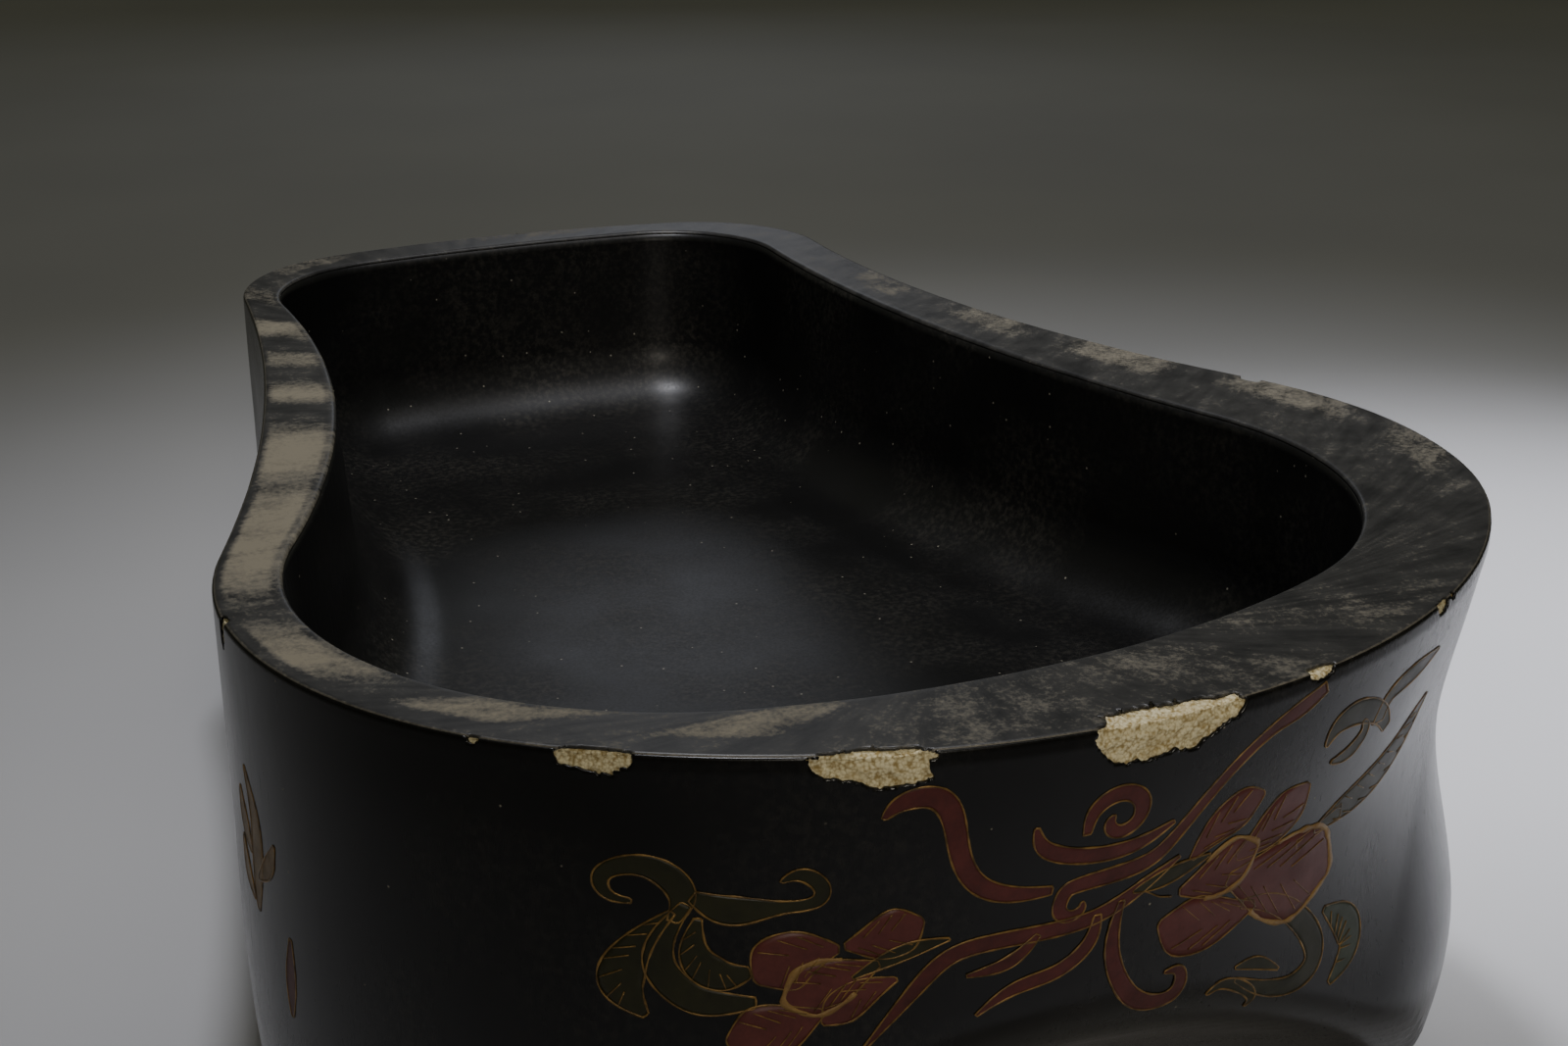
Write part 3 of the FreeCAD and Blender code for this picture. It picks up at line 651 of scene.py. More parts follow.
RED_LACQUER = filled_lacquer("lacquer_cinnabar_rubbed", "#5c2a26", "#381c1a", 0.8)
ROSE_LACQUER = filled_lacquer("lacquer_madder_rubbed", "#64342f", "#482322", 0.7)
CREAM_LACQUER = filled_lacquer("lacquer_cream_edge", "#a1824e", "#6d4e2d", 0.5)
OLIVE_LACQUER = filled_lacquer("lacquer_olive_rubbed", "#2d2c17", "#1c1c11", 0.9)
FAN_LACQUER = filled_lacquer("lacquer_blue_green_rubbed", "#3b4433", "#262c22", 0.9)
SPRAY_LACQUER = filled_lacquer("lacquer_ochre_spray", "#8c7143", "#5d4a2c", 0.7)


def gold_line():
    material, tree, shader = new_material("gold_line_worn")
    worn = ramp(tree, noise_of(tree, 2.4, 5.0, 0.65), 0.38, 0.62)
    feed(tree, shader, {"Base Color": mixed(tree, worn, colour("#9a7840"), colour("#54401f")),
                        "Metallic": 0.35, "Roughness": 0.42,
                        "Normal": bumped(tree, noise_of(tree, 0.4), 0.01, 0.3)})
    return material


GOLD_LINE = gold_line()

# %% [markdown]
# ## The lacquer skin and the ground under it
# The wall skin ends half way round the edge, where the rim's lacquer takes over. The
# ground follows half a millimetre below. Inside the breaks it crumbles unevenly, standing
# a little higher in places and sinking most at the edge, where the corner has gone.

# %% Lacquer wall, rim lacquer and ash ground
holds = (BREAK + np.roll(BREAK, -1, axis=1)
         + np.roll(BREAK, -1, axis=0) + np.roll(np.roll(BREAK, -1, axis=0), -1, axis=1)) <= 0
SKIN = slide_to_line(GRID, BREAK)
SKIN_POINTS = SKIN.reshape(-1, 3)

wall_points, wall_facets, _ = compact(SKIN_POINTS, grid_facets(0, EDGE_ROW, holds))
lacquer_wall = new_piece("lacquer_wall", wall_points, wall_facets, OUTER_LACQUER)
give_thickness(lacquer_wall, 0.4)
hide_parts("lacquer_outer")

rim_points, rim_facets, rim_used = compact(SKIN_POINTS,
                                           grid_facets(EDGE_ROW, ROWS - 1, holds))
lacquer_top = new_piece("lacquer_top", rim_points, rim_facets, RIM_LACQUER)
give_thickness(lacquer_top, 0.4)
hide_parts("lacquer_rim")


def carve_depth(inside, point, run):
    """How far the ground has crumbled away, in millimetres."""
    if inside < -0.25:
        return 0.0
    bowl = 0.45 * (1 - math.exp(-max(0.0, inside) / 0.9)) - 0.20
    corner = 0.45 * math.exp(-abs(run) / 1.0)
    crumbs = (0.26 * noise.noise(Vector(point) * 0.9)
              + 0.20 * noise.noise(Vector(point) * 2.2))
    fade = min(1.0, (inside + 0.25) / 0.25)
    return min(1.42, max(-0.25, fade * (bowl + corner * (inside > 0) + crumbs)))


LACQUER_THICK = 0.45
carve = np.zeros((ROWS, COLUMNS))
for i, j in zip(*np.nonzero(BREAK > -0.25)):
    carve[i, j] = carve_depth(BREAK[i, j], GRID[i, j], RUN[i, j])
ground = GRID - NORMALS * (LACQUER_THICK + carve)[:, :, None]
ground_points, ground_facets, _ = compact(ground.reshape(-1, 3),
                                          grid_facets(0, ROWS - 5, None))
ash_body = new_piece("ash_ground_body", ground_points, ground_facets, ASH_GROUND)
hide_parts("ash_ground_outer", "ash_ground_rim")

# %% [markdown]
# ## Where the rim is dusty
# The pale bands lie where the bowl was gripped and where a lid rubbed: heavy along the
# left side, in stripes at the left waist, and as streaks on the outer half of the right
# side. Each entry gives a place on the rim, how far the band reaches along it, and how
# heavy it is.

# %% Dust on the rim, and wear with a painted glint along its edges
# (across, back), reach along the rim in millimetres, weight, share of the width it keeps to
DUST_BANDS = [
    ((-84, -30), 36, 0.95, (0.16, 1.0)), ((-77, 4), 22, 0.95, (0.12, 1.0)),
    ((-88, -70), 16, 0.80, (0.25, 1.0)), ((-62, 34), 9, 0.85, (0.1, 1.0)),
    ((-58, 55), 8, 0.6, (0.1, 1.0)), ((-56, 76), 10, 0.85, (0.0, 1.0)),
    ((-52, 100), 10, 0.5, (0.0, 1.0)), ((-40, 122), 18, 0.40, (0.0, 0.7)),
    ((-77, -94), 12, 0.70, (0.35, 1.0)), ((-54, -115), 16, 0.60, (0.35, 1.0)),
    ((-18, -126), 24, 0.22, (0.1, 1.0)), ((16, -125), 20, 0.18, (0.0, 1.0)),
    ((48, -113), 16, 0.16, (0.1, 1.0)), ((88, -60), 16, 0.35, (0.0, 0.35)),
    ((88, -30), 20, 0.50, (0.0, 0.4)), ((76, 0), 18, 0.50, (0.0, 0.5)),
    ((66, 30), 16, 0.35, (0.0, 0.6)), ((60, 60), 14, 0.30, (0.1, 0.7)),
    ((10, 126), 30, 0.25, (0.0, 0.6)),
]
dust = np.zeros((ROWS, COLUMNS))
for place, reach, weight, (near, far) in DUST_BANDS:
    lengthwise = weight * np.exp(-(distances_from(place) / (0.6 * reach)) ** 4)
    share = np.clip(RUN / rim_width, 0, 1)
    inside = np.clip((share - near + 0.08) / 0.12, 0, 1) * np.clip(
        (far + 0.08 - share) / 0.16, 0, 1)
    dust = np.maximum(dust, lengthwise * inside)
# Rubbed wear and a painted glint: strongest on the outer rounded edge, three quarters as strong
# on the inner one.
edge_wear_and_glint = np.exp(-(np.clip(RUN, -9, 9) / 0.55) ** 2)
edge_wear_and_glint = np.maximum(edge_wear_and_glint, 0.75 * np.exp(-((RUN - rim_width - CORNER) / 0.7) ** 2))
store(lacquer_top, "dust", dust.reshape(-1)[rim_used])
store(lacquer_top, "edge_wear_and_glint", edge_wear_and_glint.reshape(-1)[rim_used])
lines = lacquer_top.data.attributes.new("across", "FLOAT_VECTOR", "POINT")
along_rim = np.broadcast_to(ARC * 2 * math.pi / PERIMETER, RUN.shape)
BRUSH_TURNS = 9.0
across_rim = np.stack([np.cos(along_rim) * BRUSH_TURNS * 4, np.sin(along_rim) * BRUSH_TURNS * 4,
                       RUN * 0.09], 2)
lines.data.foreach_set("vector", across_rim.reshape(-1, 3)[rim_used].ravel().astype(np.float32))

# %% [markdown]
# ## The lining
# Inside, the wall falls almost upright, leaning in by a millimetre and a half, and meets
# the floor in a round cove. The cove matters to the eye: it catches the overhead light
# as one bright band. The floor is filled from the last ring to its middle.

# %% Lining of the cavity
COVE_RADIUS = 13.0
DRAFT = 1.5
cove_top = FLOOR_Z + COVE_RADIUS
lining_rows = []
for z in np.linspace(RIM_Z - EDGE_RADIUS, cove_top, 15):
    inset = DRAFT * min(1.0, max(0.0, (RIM_Z - 2.1 - z) / (RIM_Z - 2.1 - cove_top)))
    lining_rows.append((z, inset))
for angle in np.radians(np.linspace(5, 90, 18)):
    lining_rows.append((cove_top - COVE_RADIUS * math.sin(angle),
                        DRAFT + COVE_RADIUS * (1 - math.cos(angle))))
floor_middle = np.array([-3.0, -2.0])
lining = []
for z, inset in lining_rows:
    lobes = [(x, y, r - inset) for x, y, r in CAVITY_LOBES]
    lining.append(at_height(outline(lobes, CAVITY_LINKS, SHARES), z))
last = lining[-1][:, :2]
for share in np.linspace(0, 1, 30)[1:-1]:
    lining.append(at_height(last + (floor_middle - last) * share, FLOOR_Z))
lining = np.array(lining)[::-1]
lining = lining - grid_normals(lining) * swell_field(lining, 0.05)[:, :, None]
inside_points = lining.reshape(-1, 3)
inside_facets = [facet[::-1] for facet in grid_facets(0, len(lining) - 1, None)]
middle_index = len(inside_points)
inside_points = np.vstack([inside_points, [[floor_middle[0], floor_middle[1], FLOOR_Z]]])
inside_facets += [(j, (j + 1) % COLUMNS, middle_index) for j in range(COLUMNS)]
lacquer_lining = new_piece("lacquer_lining", inside_points, inside_facets, LINING_LACQUER)
give_thickness(lacquer_lining, 0.35)
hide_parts("lacquer_inner")

# %% [markdown]
# ## Drawing on the wall
# The ornament was painted on the standing wall, so it is drawn here on a flat sheet and
# pressed on to the wall straight from the front, or from the left for the side motifs.
# Almost every part of it is a blade: a middle line with a width that swells and narrows,
# like one stroke of a full brush.

# %% Brush strokes that lie on the wall
ALL_QUADS = grid_facets(0, EDGE_ROW, None)
WALL_TREE = BVHTree.FromPolygons((GRID.reshape(-1, 3)).tolist(), ALL_QUADS)
FRONT = (Vector((0, 1, 0)), lambda a, z: Vector((a, -220, z)))
LEFT_SIDE = (Vector((1, 0, 0)), lambda a, z: Vector((-160, a, z)))


def press(flat, side, lift):
    """Presses flat points (along, height) on to the wall, lift millimetres proud of it."""
    toward, start = side
    points = []
    for along, height in flat:
        spot, normal, _, _ = WALL_TREE.ray_cast(start(along, height), toward)
        if spot is None:
            raise ValueError("a stroke leaves the wall at %.1f, %.1f" % (along, height))
        points.append(spot + normal * lift)
    return points


def smooth_path(controls, count):
    """A smooth curve through the control values, evenly stepped."""
    controls = np.asarray(controls, float).reshape(len(controls), -1)
    knots = np.linspace(0, 1, len(controls))
    bend = spline_slopes(knots, controls)
    return np.array([spline_at(knots, controls, bend, step)
                     for step in np.linspace(0, 1, count)])


def blade_edges(middle_line, widths, count):
    """Left and right edges of a stroke, from its middle line and half widths."""
    middle = smooth_path(middle_line, count)
    half = np.maximum(smooth_path(widths, count), 0.02)
    along = np.gradient(middle, axis=0)
    along /= np.linalg.norm(along, axis=1, keepdims=True)
    square = np.stack([-along[:, 1], along[:, 0]], 1)
    return middle + square * half, middle - square * half


class Ornament:
    """Strokes gathered by finish, then turned into one piece for each finish."""

    def __init__(self, name, side):
        self.name = name
        self.side = side
        self.sheets = {}
        self.layer = 0

    def sheet(self, rows, finish, lift):
        points, facets = self.sheets.setdefault(finish, ([], []))
        first = len(points)
        height, width = rows.shape[:2]
        pressed = press(rows.reshape(-1, 2), self.side, lift)
        points.extend(pressed)
        for i in range(height - 1):
            for j in range(width - 1):
                corner = first + i * width + j
                quad = (corner, corner + 1, corner + width + 1, corner + width)
                normal = (pressed[quad[1] - first] - pressed[corner - first]).cross(
                    pressed[quad[3] - first] - pressed[corner - first])
                facing = normal.dot(self.side[0]) < 0
                facets.append(quad if facing else quad[::-1])

    def blade(self, middle_line, widths, finish, outline=True, count=26, cream=False):
        """One filled stroke, with its gilt outline."""
        self.layer += 1
        lift = 0.02 + 0.010 * self.layer
        left, right = blade_edges(middle_line, widths, count)
        shares = np.linspace(0, 1, 7)[None, :, None]
        self.sheet(left[:, None] * (1 - shares) + right[:, None] * shares, finish, lift)
        if outline:
            self.line(np.vstack([left, right[::-1], left[:1]]), 0.10, "gold", lift + 0.05)
        if cream:
            span = slice(count // 3, count)
            edge = np.vstack([left[span], right[span][::-1]])
            self.line(edge, 0.34, "cream", lift + 0.055)
        return left, right

    def line(self, path, half_width, finish, lift):
        """A thin line along a path, its width trembling as a hand's does."""
        path = np.asarray(path, float)
        steps = np.hypot(*np.diff(path, axis=0).T)
        travelled = np.concatenate([[0], np.cumsum(steps)])
        count = max(4, int(travelled[-1] / 0.45))
        marks = np.linspace(0, travelled[-1], count)
        path = np.stack([np.interp(marks, travelled, path[:, 0]),
                         np.interp(marks, travelled, path[:, 1])], 1)
        along = np.gradient(path, axis=0)
        along /= np.maximum(np.linalg.norm(along, axis=1, keepdims=True), 1e-6)
        square = np.stack([-along[:, 1], along[:, 0]], 1)
        tremble = np.array([1 + 0.75 * noise.noise(Vector((x * 0.7, z * 0.7, half_width)))
                            for x, z in path])[:, None]
        half = half_width * np.clip(tremble, 0.25, 1.6)
        self.sheet(np.stack([path + square * half, path - square * half], 1), finish, lift)

    def veins(self, left, right, count, reach, finish="gold"):
        """Short lines that fan from near the base of a stroke towards its edge."""
        steps = len(left)
        middle = (left + right) / 2
        for n in range(count):
            share = (n + 1) / (count + 1)
            edge = left if n % 2 else right
            at = int(steps * (0.35 + 0.6 * share)) - 1
            root = middle[max(0, int(at - steps * 0.30))]
            tip = middle[at] + (edge[at] - middle[at]) * reach
            self.line([root + (tip - root) * 0.25, (root + tip) / 2, tip], 0.055, finish,
                      0.11 + 0.012 * self.layer)

    def comb(self, left, right, count, near, far, finish="gold"):
        """Parallel short lines across a stroke, between two shares of its width."""
        for n in range(count):
            at = int(len(left) * (0.15 + 0.72 * n / count))
            on = min(len(left) - 1, at + 2)
            a = left[at] + (right[at] - left[at]) * near
            b = left[on] + (right[on] - left[on]) * far
            self.line([a, (a + b) / 2, b], 0.06, finish, 0.11 + 0.012 * self.layer)

    def build(self, finishes, replaced):
        """Makes the pieces; the first one stands for the CAD node."""
        for n, (finish, (points, facets)) in enumerate(self.sheets.items()):
            material, slot = finishes[finish]
            piece = new_piece("%s_%s" % (self.name, finish), points, facets, material)
            give_thickness(piece, 0.12)
            if n == 0:
                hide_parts(replaced)


FINISHES = {
    "red": (RED_LACQUER, "red_lacquer"), "rose": (ROSE_LACQUER, "rose_lacquer"),
    "cream": (CREAM_LACQUER, "gold_lacquer"), "olive": (OLIVE_LACQUER, "olive_lacquer"),
    "fan": (FAN_LACQUER, "olive_lacquer"), "ochre": (SPRAY_LACQUER, "gold_lacquer"),
    "gold": (GOLD_LINE, "gold_lacquer"),
}

# %% [markdown]
# ## The blossoms
# Each blossom is a fan of five petals with a dark calyx. The outer petals go on first
# and the middle one last, over the others, with a cream edge.

# %% Blossoms
PETAL = [0.5, 1.9, 3.2, 3.8, 3.3, 0.4]


def petal(flower, base, tip, bend, width, veins, cream=False):
    """A petal from base to tip; bend pushes its middle sideways."""
    base, tip = np.array(base, float), np.array(tip, float)
    middle = (base + tip) / 2 + np.array([base[1] - tip[1], tip[0] - base[0]]) * bend
    left, right = flower.blade([base, middle, tip], [w * width for w in PETAL], "rose",
                               cream=cream)
    flower.veins(left, right, veins, 0.8)


right_blossom = Ornament("blossom_right", FRONT)
petal(right_blossom, (7.6, 69.6), (17.6, 76.2), 0.10, 0.85, 6)
petal(right_blossom, (15.5, 67.0), (26.2, 74.4), -0.06, 1.02, 7)
petal(right_blossom, (20.8, 58.2), (4.4, 61.2), 0.08, 1.10, 7)
petal(right_blossom, (14.8, 64.2), (36.0, 57.0), 0.0, 1.75, 9, cream=True)
petal(right_blossom, (6.8, 65.0), (19.0, 68.0), -0.05, 1.05, 6, cream=True)
right_blossom.blade([(-0.6, 67.4), (4.4, 68.2), (10.6, 69.4)], [0.2, 1.3, 0.2], "olive")
right_blossom.line([(1.2, 67.0), (3.6, 65.4), (5.6, 64.8)], 0.1, "gold", 0.15)
right_blossom.build(FINISHES, "inlay_blossom_right")

left_blossom = Ornament("blossom_left", FRONT)
petal(left_blossom, (-30.2, 62.0), (-38.6, 57.2), -0.08, 0.62, 5)
petal(left_blossom, (-36.4, 67.2), (-27.6, 69.6), -0.06, 0.86, 6)
petal(left_blossom, (-37.0, 66.9), (-46.0, 63.4), -0.12, 1.00, 6)
petal(left_blossom, (-38.6, 58.9), (-49.2, 56.0), 0.04, 0.98, 7)
petal(left_blossom, (-32.4, 64.4), (-43.0, 60.6), 0.0, 0.90, 7, cream=True)
left_blossom.blade([(-24.2, 66.4), (-29.8, 65.4), (-35.4, 62.9)], [0.15, 1.1, 0.2], "olive")
left_blossom.build(FINISHES, "inlay_blossom_left")

# %% [markdown]
# ## The leaf scrolls
# Three dark scrolls of curling leaves stand round the blossoms. They are hard to see in
# the shade, where only their worn gold outlines catch some light.

# %% Leaf scrolls
left_leaf = Ornament("leaf_left", FRONT)
left_leaf.blade([(-58.6, 73.9), (-60.9, 74.6), (-61.4, 77.0), (-58.6, 78.4), (-55.4, 77.4),
                 (-53.6, 74.6), (-54.6, 71.4)], [0.3, 0.6, 0.9, 1.2, 1.5, 1.4, 0.6], "olive",
                count=44)
left, right = left_leaf.blade([(-54.6, 72.6), (-58.0, 68.6), (-59.8, 63.6), (-57.4, 59.4)],
                              [0.4, 1.6, 2.3, 0.4], "olive")
left_leaf.comb(left, right, 7, 0.5, 0.95)
left_leaf.blade([(-53.2, 73.6), (-55.6, 69.4), (-55.8, 65.4), (-53.4, 62.2), (-50.4, 61.0),
                 (-46.0, 60.8)], [0.6, 1.3, 1.7, 1.8, 1.6, 0.7], "olive", count=36)
left, right = left_leaf.blade([(-52.0, 71.8), (-52.4, 67.4), (-50.0, 64.6), (-46.6, 64.8)],
                              [0.4, 1.6, 2.0, 0.7], "olive")
left_leaf.comb(left, right, 7, 0.45, 0.95)
left_leaf.blade([(-52.6, 74.6), (-49.4, 72.9), (-46.2, 72.7), (-43.0, 72.9), (-39.8, 73.4),
                 (-39.3, 75.4), (-41.4, 77.0), (-43.6, 76.2)],
                [0.7, 1.8, 1.5, 0.8, 0.8, 0.9, 0.8, 0.2], "olive", count=48)
left_leaf.build(FINISHES, "inlay_leaf_left")

upper_leaf = Ornament("leaf_upper_right", FRONT)
upper_leaf.blade([(27.2, 64.4), (31.4, 65.2), (36.0, 66.0)], [0.8, 0.9, 1.2], "olive")
left, right = upper_leaf.blade([(30.5, 65.2), (35.6, 66.4), (42.1, 67.6), (47.6, 70.0),
                                (51.0, 73.2), (54.0, 76.0)],
                               [0.5, 1.9, 2.7, 2.6, 1.7, 0.2], "olive", count=40)
upper_leaf.comb(left, right, 9, 0.15, 0.5)
upper_leaf.comb(left, right, 8, 0.78, 0.97)
upper_leaf.blade([(38.6, 78.6), (40.0, 82.2), (45.4, 83.4), (52.4, 83.9)],
                 [1.3, 1.2, 1.5, 0.15], "olive")
upper_leaf.blade([(41.6, 76.6), (38.2, 80.2), (32.6, 82.6), (28.8, 82.0), (27.4, 79.4)],
                 [0.8, 1.5, 1.9, 1.5, 0.3], "olive", count=32)
upper_leaf.blade([(29.6, 76.2), (33.6, 76.4), (35.6, 78.6), (34.6, 80.6)],
                 [0.3, 1.2, 0.9, 0.3], "olive")
upper_leaf.build(FINISHES, "inlay_leaf_upper_right")

lower_leaf = Ornament("leaf_lower_right", FRONT)
lower_leaf.blade([(18.4, 59.1), (24.2, 57.0), (30.5, 52.1), (34.3, 46.8), (33.6, 43.6),
                  (29.5, 42.6), (24.3, 44.4), (19.1, 47.6)],
                 [0.7, 1.3, 1.7, 1.9, 1.8, 1.5, 1.1, 0.3], "olive", count=48)
left, right = lower_leaf.blade([(36.0, 51.0), (40.6, 47.6), (42.4, 43.4), (38.0, 39.6)],
                               [0.4, 2.3, 2.4, 0.5], "fan")
lower_leaf.comb(left, right, 8, 0.45, 0.98)
lower_leaf.blade([(18.8, 49.5), (22.8, 48.7), (27.2, 46.1)], [0.2, 0.9, 0.2], "olive")
lower_leaf.blade([(14.6, 46.9), (17.6, 47.6), (22.4, 44.3), (22.6, 41.6)],
                 [0.3, 0.8, 0.8, 0.2], "olive")
lower_leaf.build(FINISHES, "inlay_leaf_lower_right")

# %% [markdown]
# ## The cloud scroll
# In the middle of the front a red scroll of cloud ribbons streams up towards the right.
# Its bands double back in curls and cross one another, each with its gilt outline.

# %% Cloud scroll
def curl(centre, radius, start, turns, shrink=0.25, steps=9):
    """Control points of a spiral that closes in on its centre."""
    points = []
    for n in range(steps):
        share = n / (steps - 1)
        angle = math.radians(start) + turns * 2 * math.pi * share
        reach = radius * (1 - (1 - shrink) * share)
        points.append((centre[0] + reach * math.cos(angle), centre[1] + reach * math.sin(angle)))
    return points


cloud = Ornament("cloud_scroll", FRONT)
cloud.blade([(24.0, 89.4), (20.2, 87.6), (16.2, 86.0), (11.4, 82.6), (7.1, 77.9), (3.6, 73.6),
             (-0.6, 71.2), (-8.0, 70.6)] + curl((-8.6, 67.8), 2.8, 80, 0.8, 0.35, 6)[1:],
            [0.9, 1.3, 0.9, 0.8, 0.85, 1.0, 1.2, 1.1, 1.0, 0.9, 0.8, 0.6, 0.2], "red", count=80)
cloud.blade([(-33.2, 83.6), (-31.2, 85.6), (-27.6, 85.8), (-25.4, 82.6), (-24.2, 78.0),
             (-21.8, 73.6), (-17.4, 71.2), (-12.0, 70.6)],
            [0.3, 1.1, 1.4, 1.3, 1.2, 1.2, 1.1, 0.6], "red", count=56)
cloud.blade(curl((-4.6, 79.2), 4.4, 200, -1.15, 0.22, 11),
            [0.5, 0.9, 1.1, 1.1, 1.1, 1.0, 0.95, 0.9, 0.8, 0.6, 0.2], "red", count=72)
cloud.blade([(3.4, 76.6), (-1.6, 74.6), (-8.0, 74.6), (-13.6, 76.6), (-15.4, 80.0)],
            [0.3, 1.0, 1.1, 1.0, 0.3], "red", count=40)
cloud.blade([(5.6, 70.8), (0.6, 67.8), (-5.6, 65.2), (-14.0, 64.8), (-22.6, 64.4),
             (-27.6, 60.6), (-33.8, 53.2)],
            [0.2, 1.0, 1.1, 1.1, 1.1, 1.0, 0.2], "red", count=56)
cloud.blade([(-5.2, 65.4), (-6.0, 61.4), (-10.0, 58.6), (-15.4, 57.6), (-20.2, 55.0)],
            [0.5, 1.0, 1.0, 0.9, 0.2], "red", count=40)
cloud.blade([(-13.0, 64.6), (-16.4, 61.6), (-21.8, 60.8)], [0.4, 0.9, 0.2], "red")
cloud.blade([(-2.0, 66.6), (-2.4, 60.0), (0.0, 53.6), (4.2, 49.6), (8.4, 49.4), (9.0, 52.6),
             (6.4, 53.4)], [0.4, 1.0, 1.2, 1.3, 1.2, 0.8, 0.2], "red", count=52)
cloud.build(FINISHES, "inlay_cloud_ribbon")

# %% [markdown]
# ## The side motifs
# On the left side a spray of ochre leaves climbs the wall, and a single red stroke lies
# below it.

# %% Spray and stroke on the left side
spray = Ornament("spray_left_side", LEFT_SIDE)
spray.blade([(-63.8, 55.0), (-64.6, 61.0), (-65.2, 68.0), (-62.6, 74.5)],
            [0.5, 1.7, 1.6, 0.2], "ochre")
spray.blade([(-62.8, 62.5), (-60.6, 66.0), (-59.6, 70.5)], [0.4, 1.5, 0.2], "ochre")
spray.blade([(-65.0, 60.0), (-68.6, 63.0), (-71.0, 67.0)], [0.3, 1.3, 0.2], "ochre")
spray.blade([(-62.8, 56.0), (-60.0, 59.0), (-59.0, 63.5)], [0.3, 1.3, 0.2], "ochre")
spray.build(FINISHES, "inlay_spray_left_side")
dash = Ornament("petal_left_side", LEFT_SIDE)
dash.blade([(-73.6, 55.4), (-72.9, 49.4), (-72.5, 44.0)], [0.3, 1.2, 0.3], "red")
dash.build(FINISHES, "inlay_petal_left_side")

# %% [markdown]
# ## The core inside the skin
# The parts under the lacquer keep their measured shape and only take a finish: camphor
# wood with growth rings, split bamboo for pegs and dowels, coarse hemp cloth, and a
# finer grade of the same ash ground inside.

# %% Wood, bamboo and hemp
def camphor_wood():
    material, tree, shader = new_material("camphor_wood_sawn")
    stretched = add(tree, "Mapping", {"Vector": object_place(tree),
                                      "Scale": (1.0, 0.16, 1.0)}).outputs["Vector"]
    drift = noise_of(tree, 30.0, 3.0, 0.5, stretched)
    rings = add(tree, "TexWave", {"Vector": stretched, "Scale": 1 / (9.0 * MM),
                                  "Distortion": 6.0, "Detail": 3.0, "Detail Scale": 0.8})
    pores = noise_of(tree, 0.5, 3.0, 0.6, stretched)
    tone = weighted(tree, (rings.outputs["Fac"], 0.5), (drift, 0.5))
    body = mixed(tree, tone, colour("#8a5a34"), colour("#b98a58"))
    body = mixed(tree, ramp(tree, pores, 0.6, 0.75, 0.0, 0.5), body, colour("#5f3b20"))
    feed(tree, shader, {"Base Color": body, "Roughness": 0.7,
                        "Normal": bumped(tree, pores, 0.08, 0.5)})
    return material


def split_bamboo():
    material, tree, shader = new_material("bamboo_split")
    fibres = noise_of(tree, 0.35, 3.0, 0.6, add(tree, "Mapping", {
        "Vector": object_place(tree), "Scale": (0.1, 1.0, 1.0)}).outputs["Vector"])
    body = mixed(tree, ramp(tree, fibres, 0.35, 0.65), colour("#a98a4c"), colour("#d2b878"))
    feed(tree, shader, {"Base Color": body, "Roughness": 0.6,
                        "Normal": bumped(tree, fibres, 0.05, 0.4)})
    return material


def hemp_cloth():
    material, tree, shader = new_material("hemp_cloth_soaked")
    threads = []
    for direction in ("X", "Z"):
        threads.append(add(tree, "TexWave", {"Vector": object_place(tree),
                                             "Scale": 1 / (7.0 * MM), "Distortion": 0.6,
                                             "Detail": 1.0},
                           bands_direction=direction).outputs["Fac"])
    weave = maths(tree, "MULTIPLY", threads[0], threads[1])
    feed(tree, shader, {"Base Color": mixed(tree, weave, colour("#3d3122"), colour("#8d7c5c")),
                        "Roughness": 0.85, "Normal": bumped(tree, weave, 0.2, 0.8)})
    return material


CAMPHOR = camphor_wood()
BAMBOO = split_bamboo()
HEMP = hemp_cloth()
CORE_FINISHES = {
    "core_wall_left": CAMPHOR, "core_wall_right": CAMPHOR, "core_floor_block": CAMPHOR,
    "core_base_board": CAMPHOR, "seam_dowels": BAMBOO, "wall_pegs": BAMBOO,
    "base_pegs": BAMBOO, "hemp_cloth_wrap": HEMP, "ash_ground_inner": ASH_GROUND,
    "underside_coat": UNDER_LACQUER, "foot_plate": FOOT_LACQUER,
}
for node_name, finish in CORE_FINISHES.items():
    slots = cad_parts[node_name].data.materials
    slots.clear()
    slots.append(finish)
print(len(CORE_FINISHES), "core parts finished")

# %% [markdown]
# ## Table, light and camera
# The bowl stands on a pale, even table in a dim room. A small lamp hangs over its middle and
# a narrower one makes a bright pool on the table to the right. A lamp low in front picks out
# the ornament and the broken ground, and two weak panels, one in front and one far behind,
# lay soft light in the lining and a sheen on the back of the rim. Black lacquer shows
# almost nothing of its own colour, so the lit table beside it decides where the wall looks
# grey and where it looks black.

# %% Table
def table_top():
    material, tree, shader = new_material("table_matte_pale")
    drift = noise_of(tree, 160.0, 2.0, 0.5)
    tooth = noise_of(tree, 0.6, 3.0, 0.6)
    body = mixed(tree, ramp(tree, drift, 0.3, 0.7), colour("#c6c6c8"), colour("#cdcdce"))
    feed(tree, shader, {"Base Color": body, "Roughness": 0.9, "Specular IOR Level": 0.2,
                        "Normal": bumped(tree, tooth, 0.05, 0.25)})
    return material


FLOOR_HALF = 3.0
floor_mesh = bpy.data.meshes.new("table")
floor_mesh.from_pydata([(-FLOOR_HALF, -FLOOR_HALF, 0), (FLOOR_HALF, -FLOOR_HALF, 0),
                        (FLOOR_HALF, FLOOR_HALF, 0), (-FLOOR_HALF, FLOOR_HALF, 0)],
                       [], [(0, 1, 2, 3)])
floor_mesh.materials.append(table_top())
table = bpy.data.objects.new("table", floor_mesh)
bpy.context.scene.collection.objects.link(table)

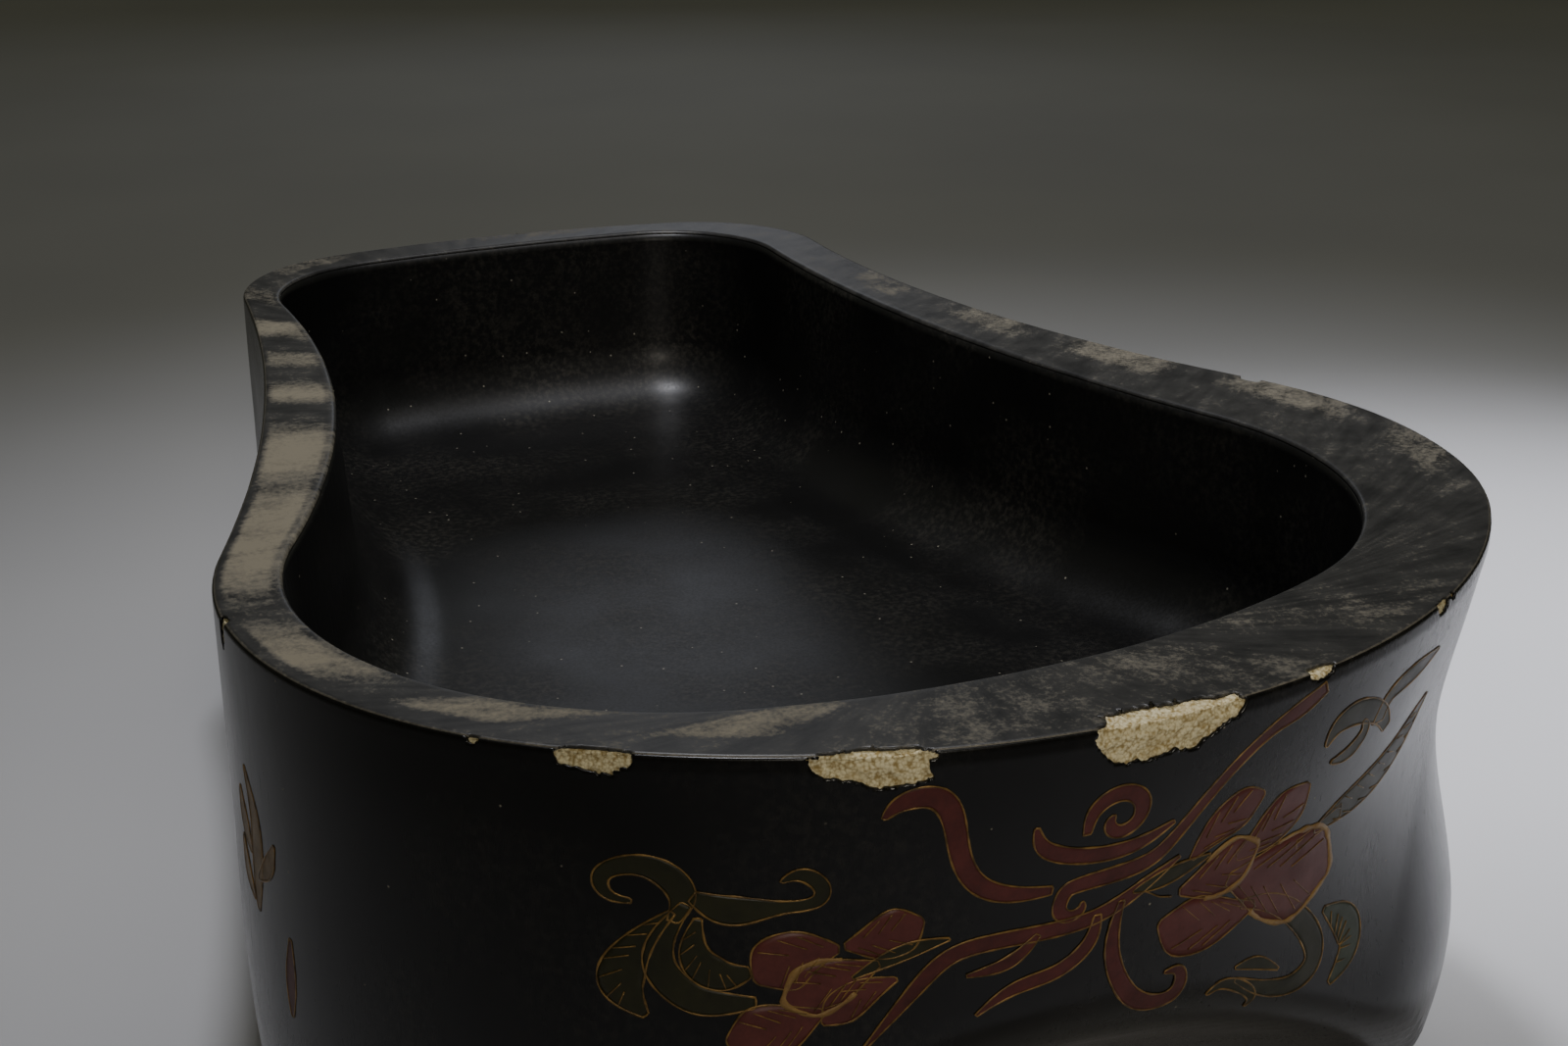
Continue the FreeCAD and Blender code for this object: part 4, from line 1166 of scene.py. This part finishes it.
# %% Lights
def lamp(name, kind, place, target, watts, tint="#ffffff"):
    """A lamp that shines from place to target, both in metres."""
    light = bpy.data.lights.new(name, kind)
    light.energy = watts
    light.color = colour(tint)[:3]
    holder = bpy.data.objects.new(name, light)
    holder.location = place
    holder.rotation_euler = (Vector(target) - Vector(place)).to_track_quat("-Z", "Y").to_euler()
    bpy.context.scene.collection.objects.link(holder)
    return light


overhead = lamp("overhead", "SPOT", (0.00, 0.04, 0.62), (0.06, 0.04, 0.0), 7.0, "#f6f7ff")
overhead.spot_size = math.radians(72)
overhead.spot_blend = 1.0
overhead.shadow_soft_size = 0.035
pool = lamp("pool", "SPOT", (0.46, -0.06, 0.70), (0.22, 0.03, 0.0), 28.0, "#f6f7ff")
pool.spot_size = math.radians(33)
pool.spot_blend = 1.0
pool.shadow_soft_size = 0.05
front_fill = lamp("front_fill", "SPOT", (-0.16, -0.85, 0.42), (0.0, -0.12, 0.075), 12.0,
                  "#fff6e8")
front_fill.spot_size = math.radians(15)
front_fill.spot_blend = 1.0
front_fill.shadow_soft_size = 0.08
softbox = lamp("softbox", "AREA", (0.05, -0.22, 0.85), (0.0, 0.05, 0.05), 0.8, "#fffaf2")
softbox.size = 0.4
back_sheen = lamp("back_sheen", "AREA", (0.36, 0.95, 0.42), (0.0, 0.0, 0.08), 0.18, "#eef2ff")
back_sheen.size = 0.22

world = bpy.data.worlds.new("dusk")
world.use_nodes = True
world.node_tree.nodes["Background"].inputs["Color"].default_value = colour("#4a4a3e")
world.node_tree.nodes["Background"].inputs["Strength"].default_value = 0.75
bpy.context.scene.world = world

# %% Camera
CAMERA_PLACE = (-0.13628, -0.32854, 0.20128)
CAMERA_TURN = math.radians(24)
CAMERA_DOWN = math.radians(20)
camera = bpy.data.cameras.new("camera")
camera.lens = 54
camera.sensor_width = 36
holder = bpy.data.objects.new("camera", camera)
holder.location = CAMERA_PLACE
holder.rotation_euler = (math.radians(90) - CAMERA_DOWN, 0, -CAMERA_TURN)
bpy.context.scene.collection.objects.link(holder)
bpy.context.scene.camera = holder
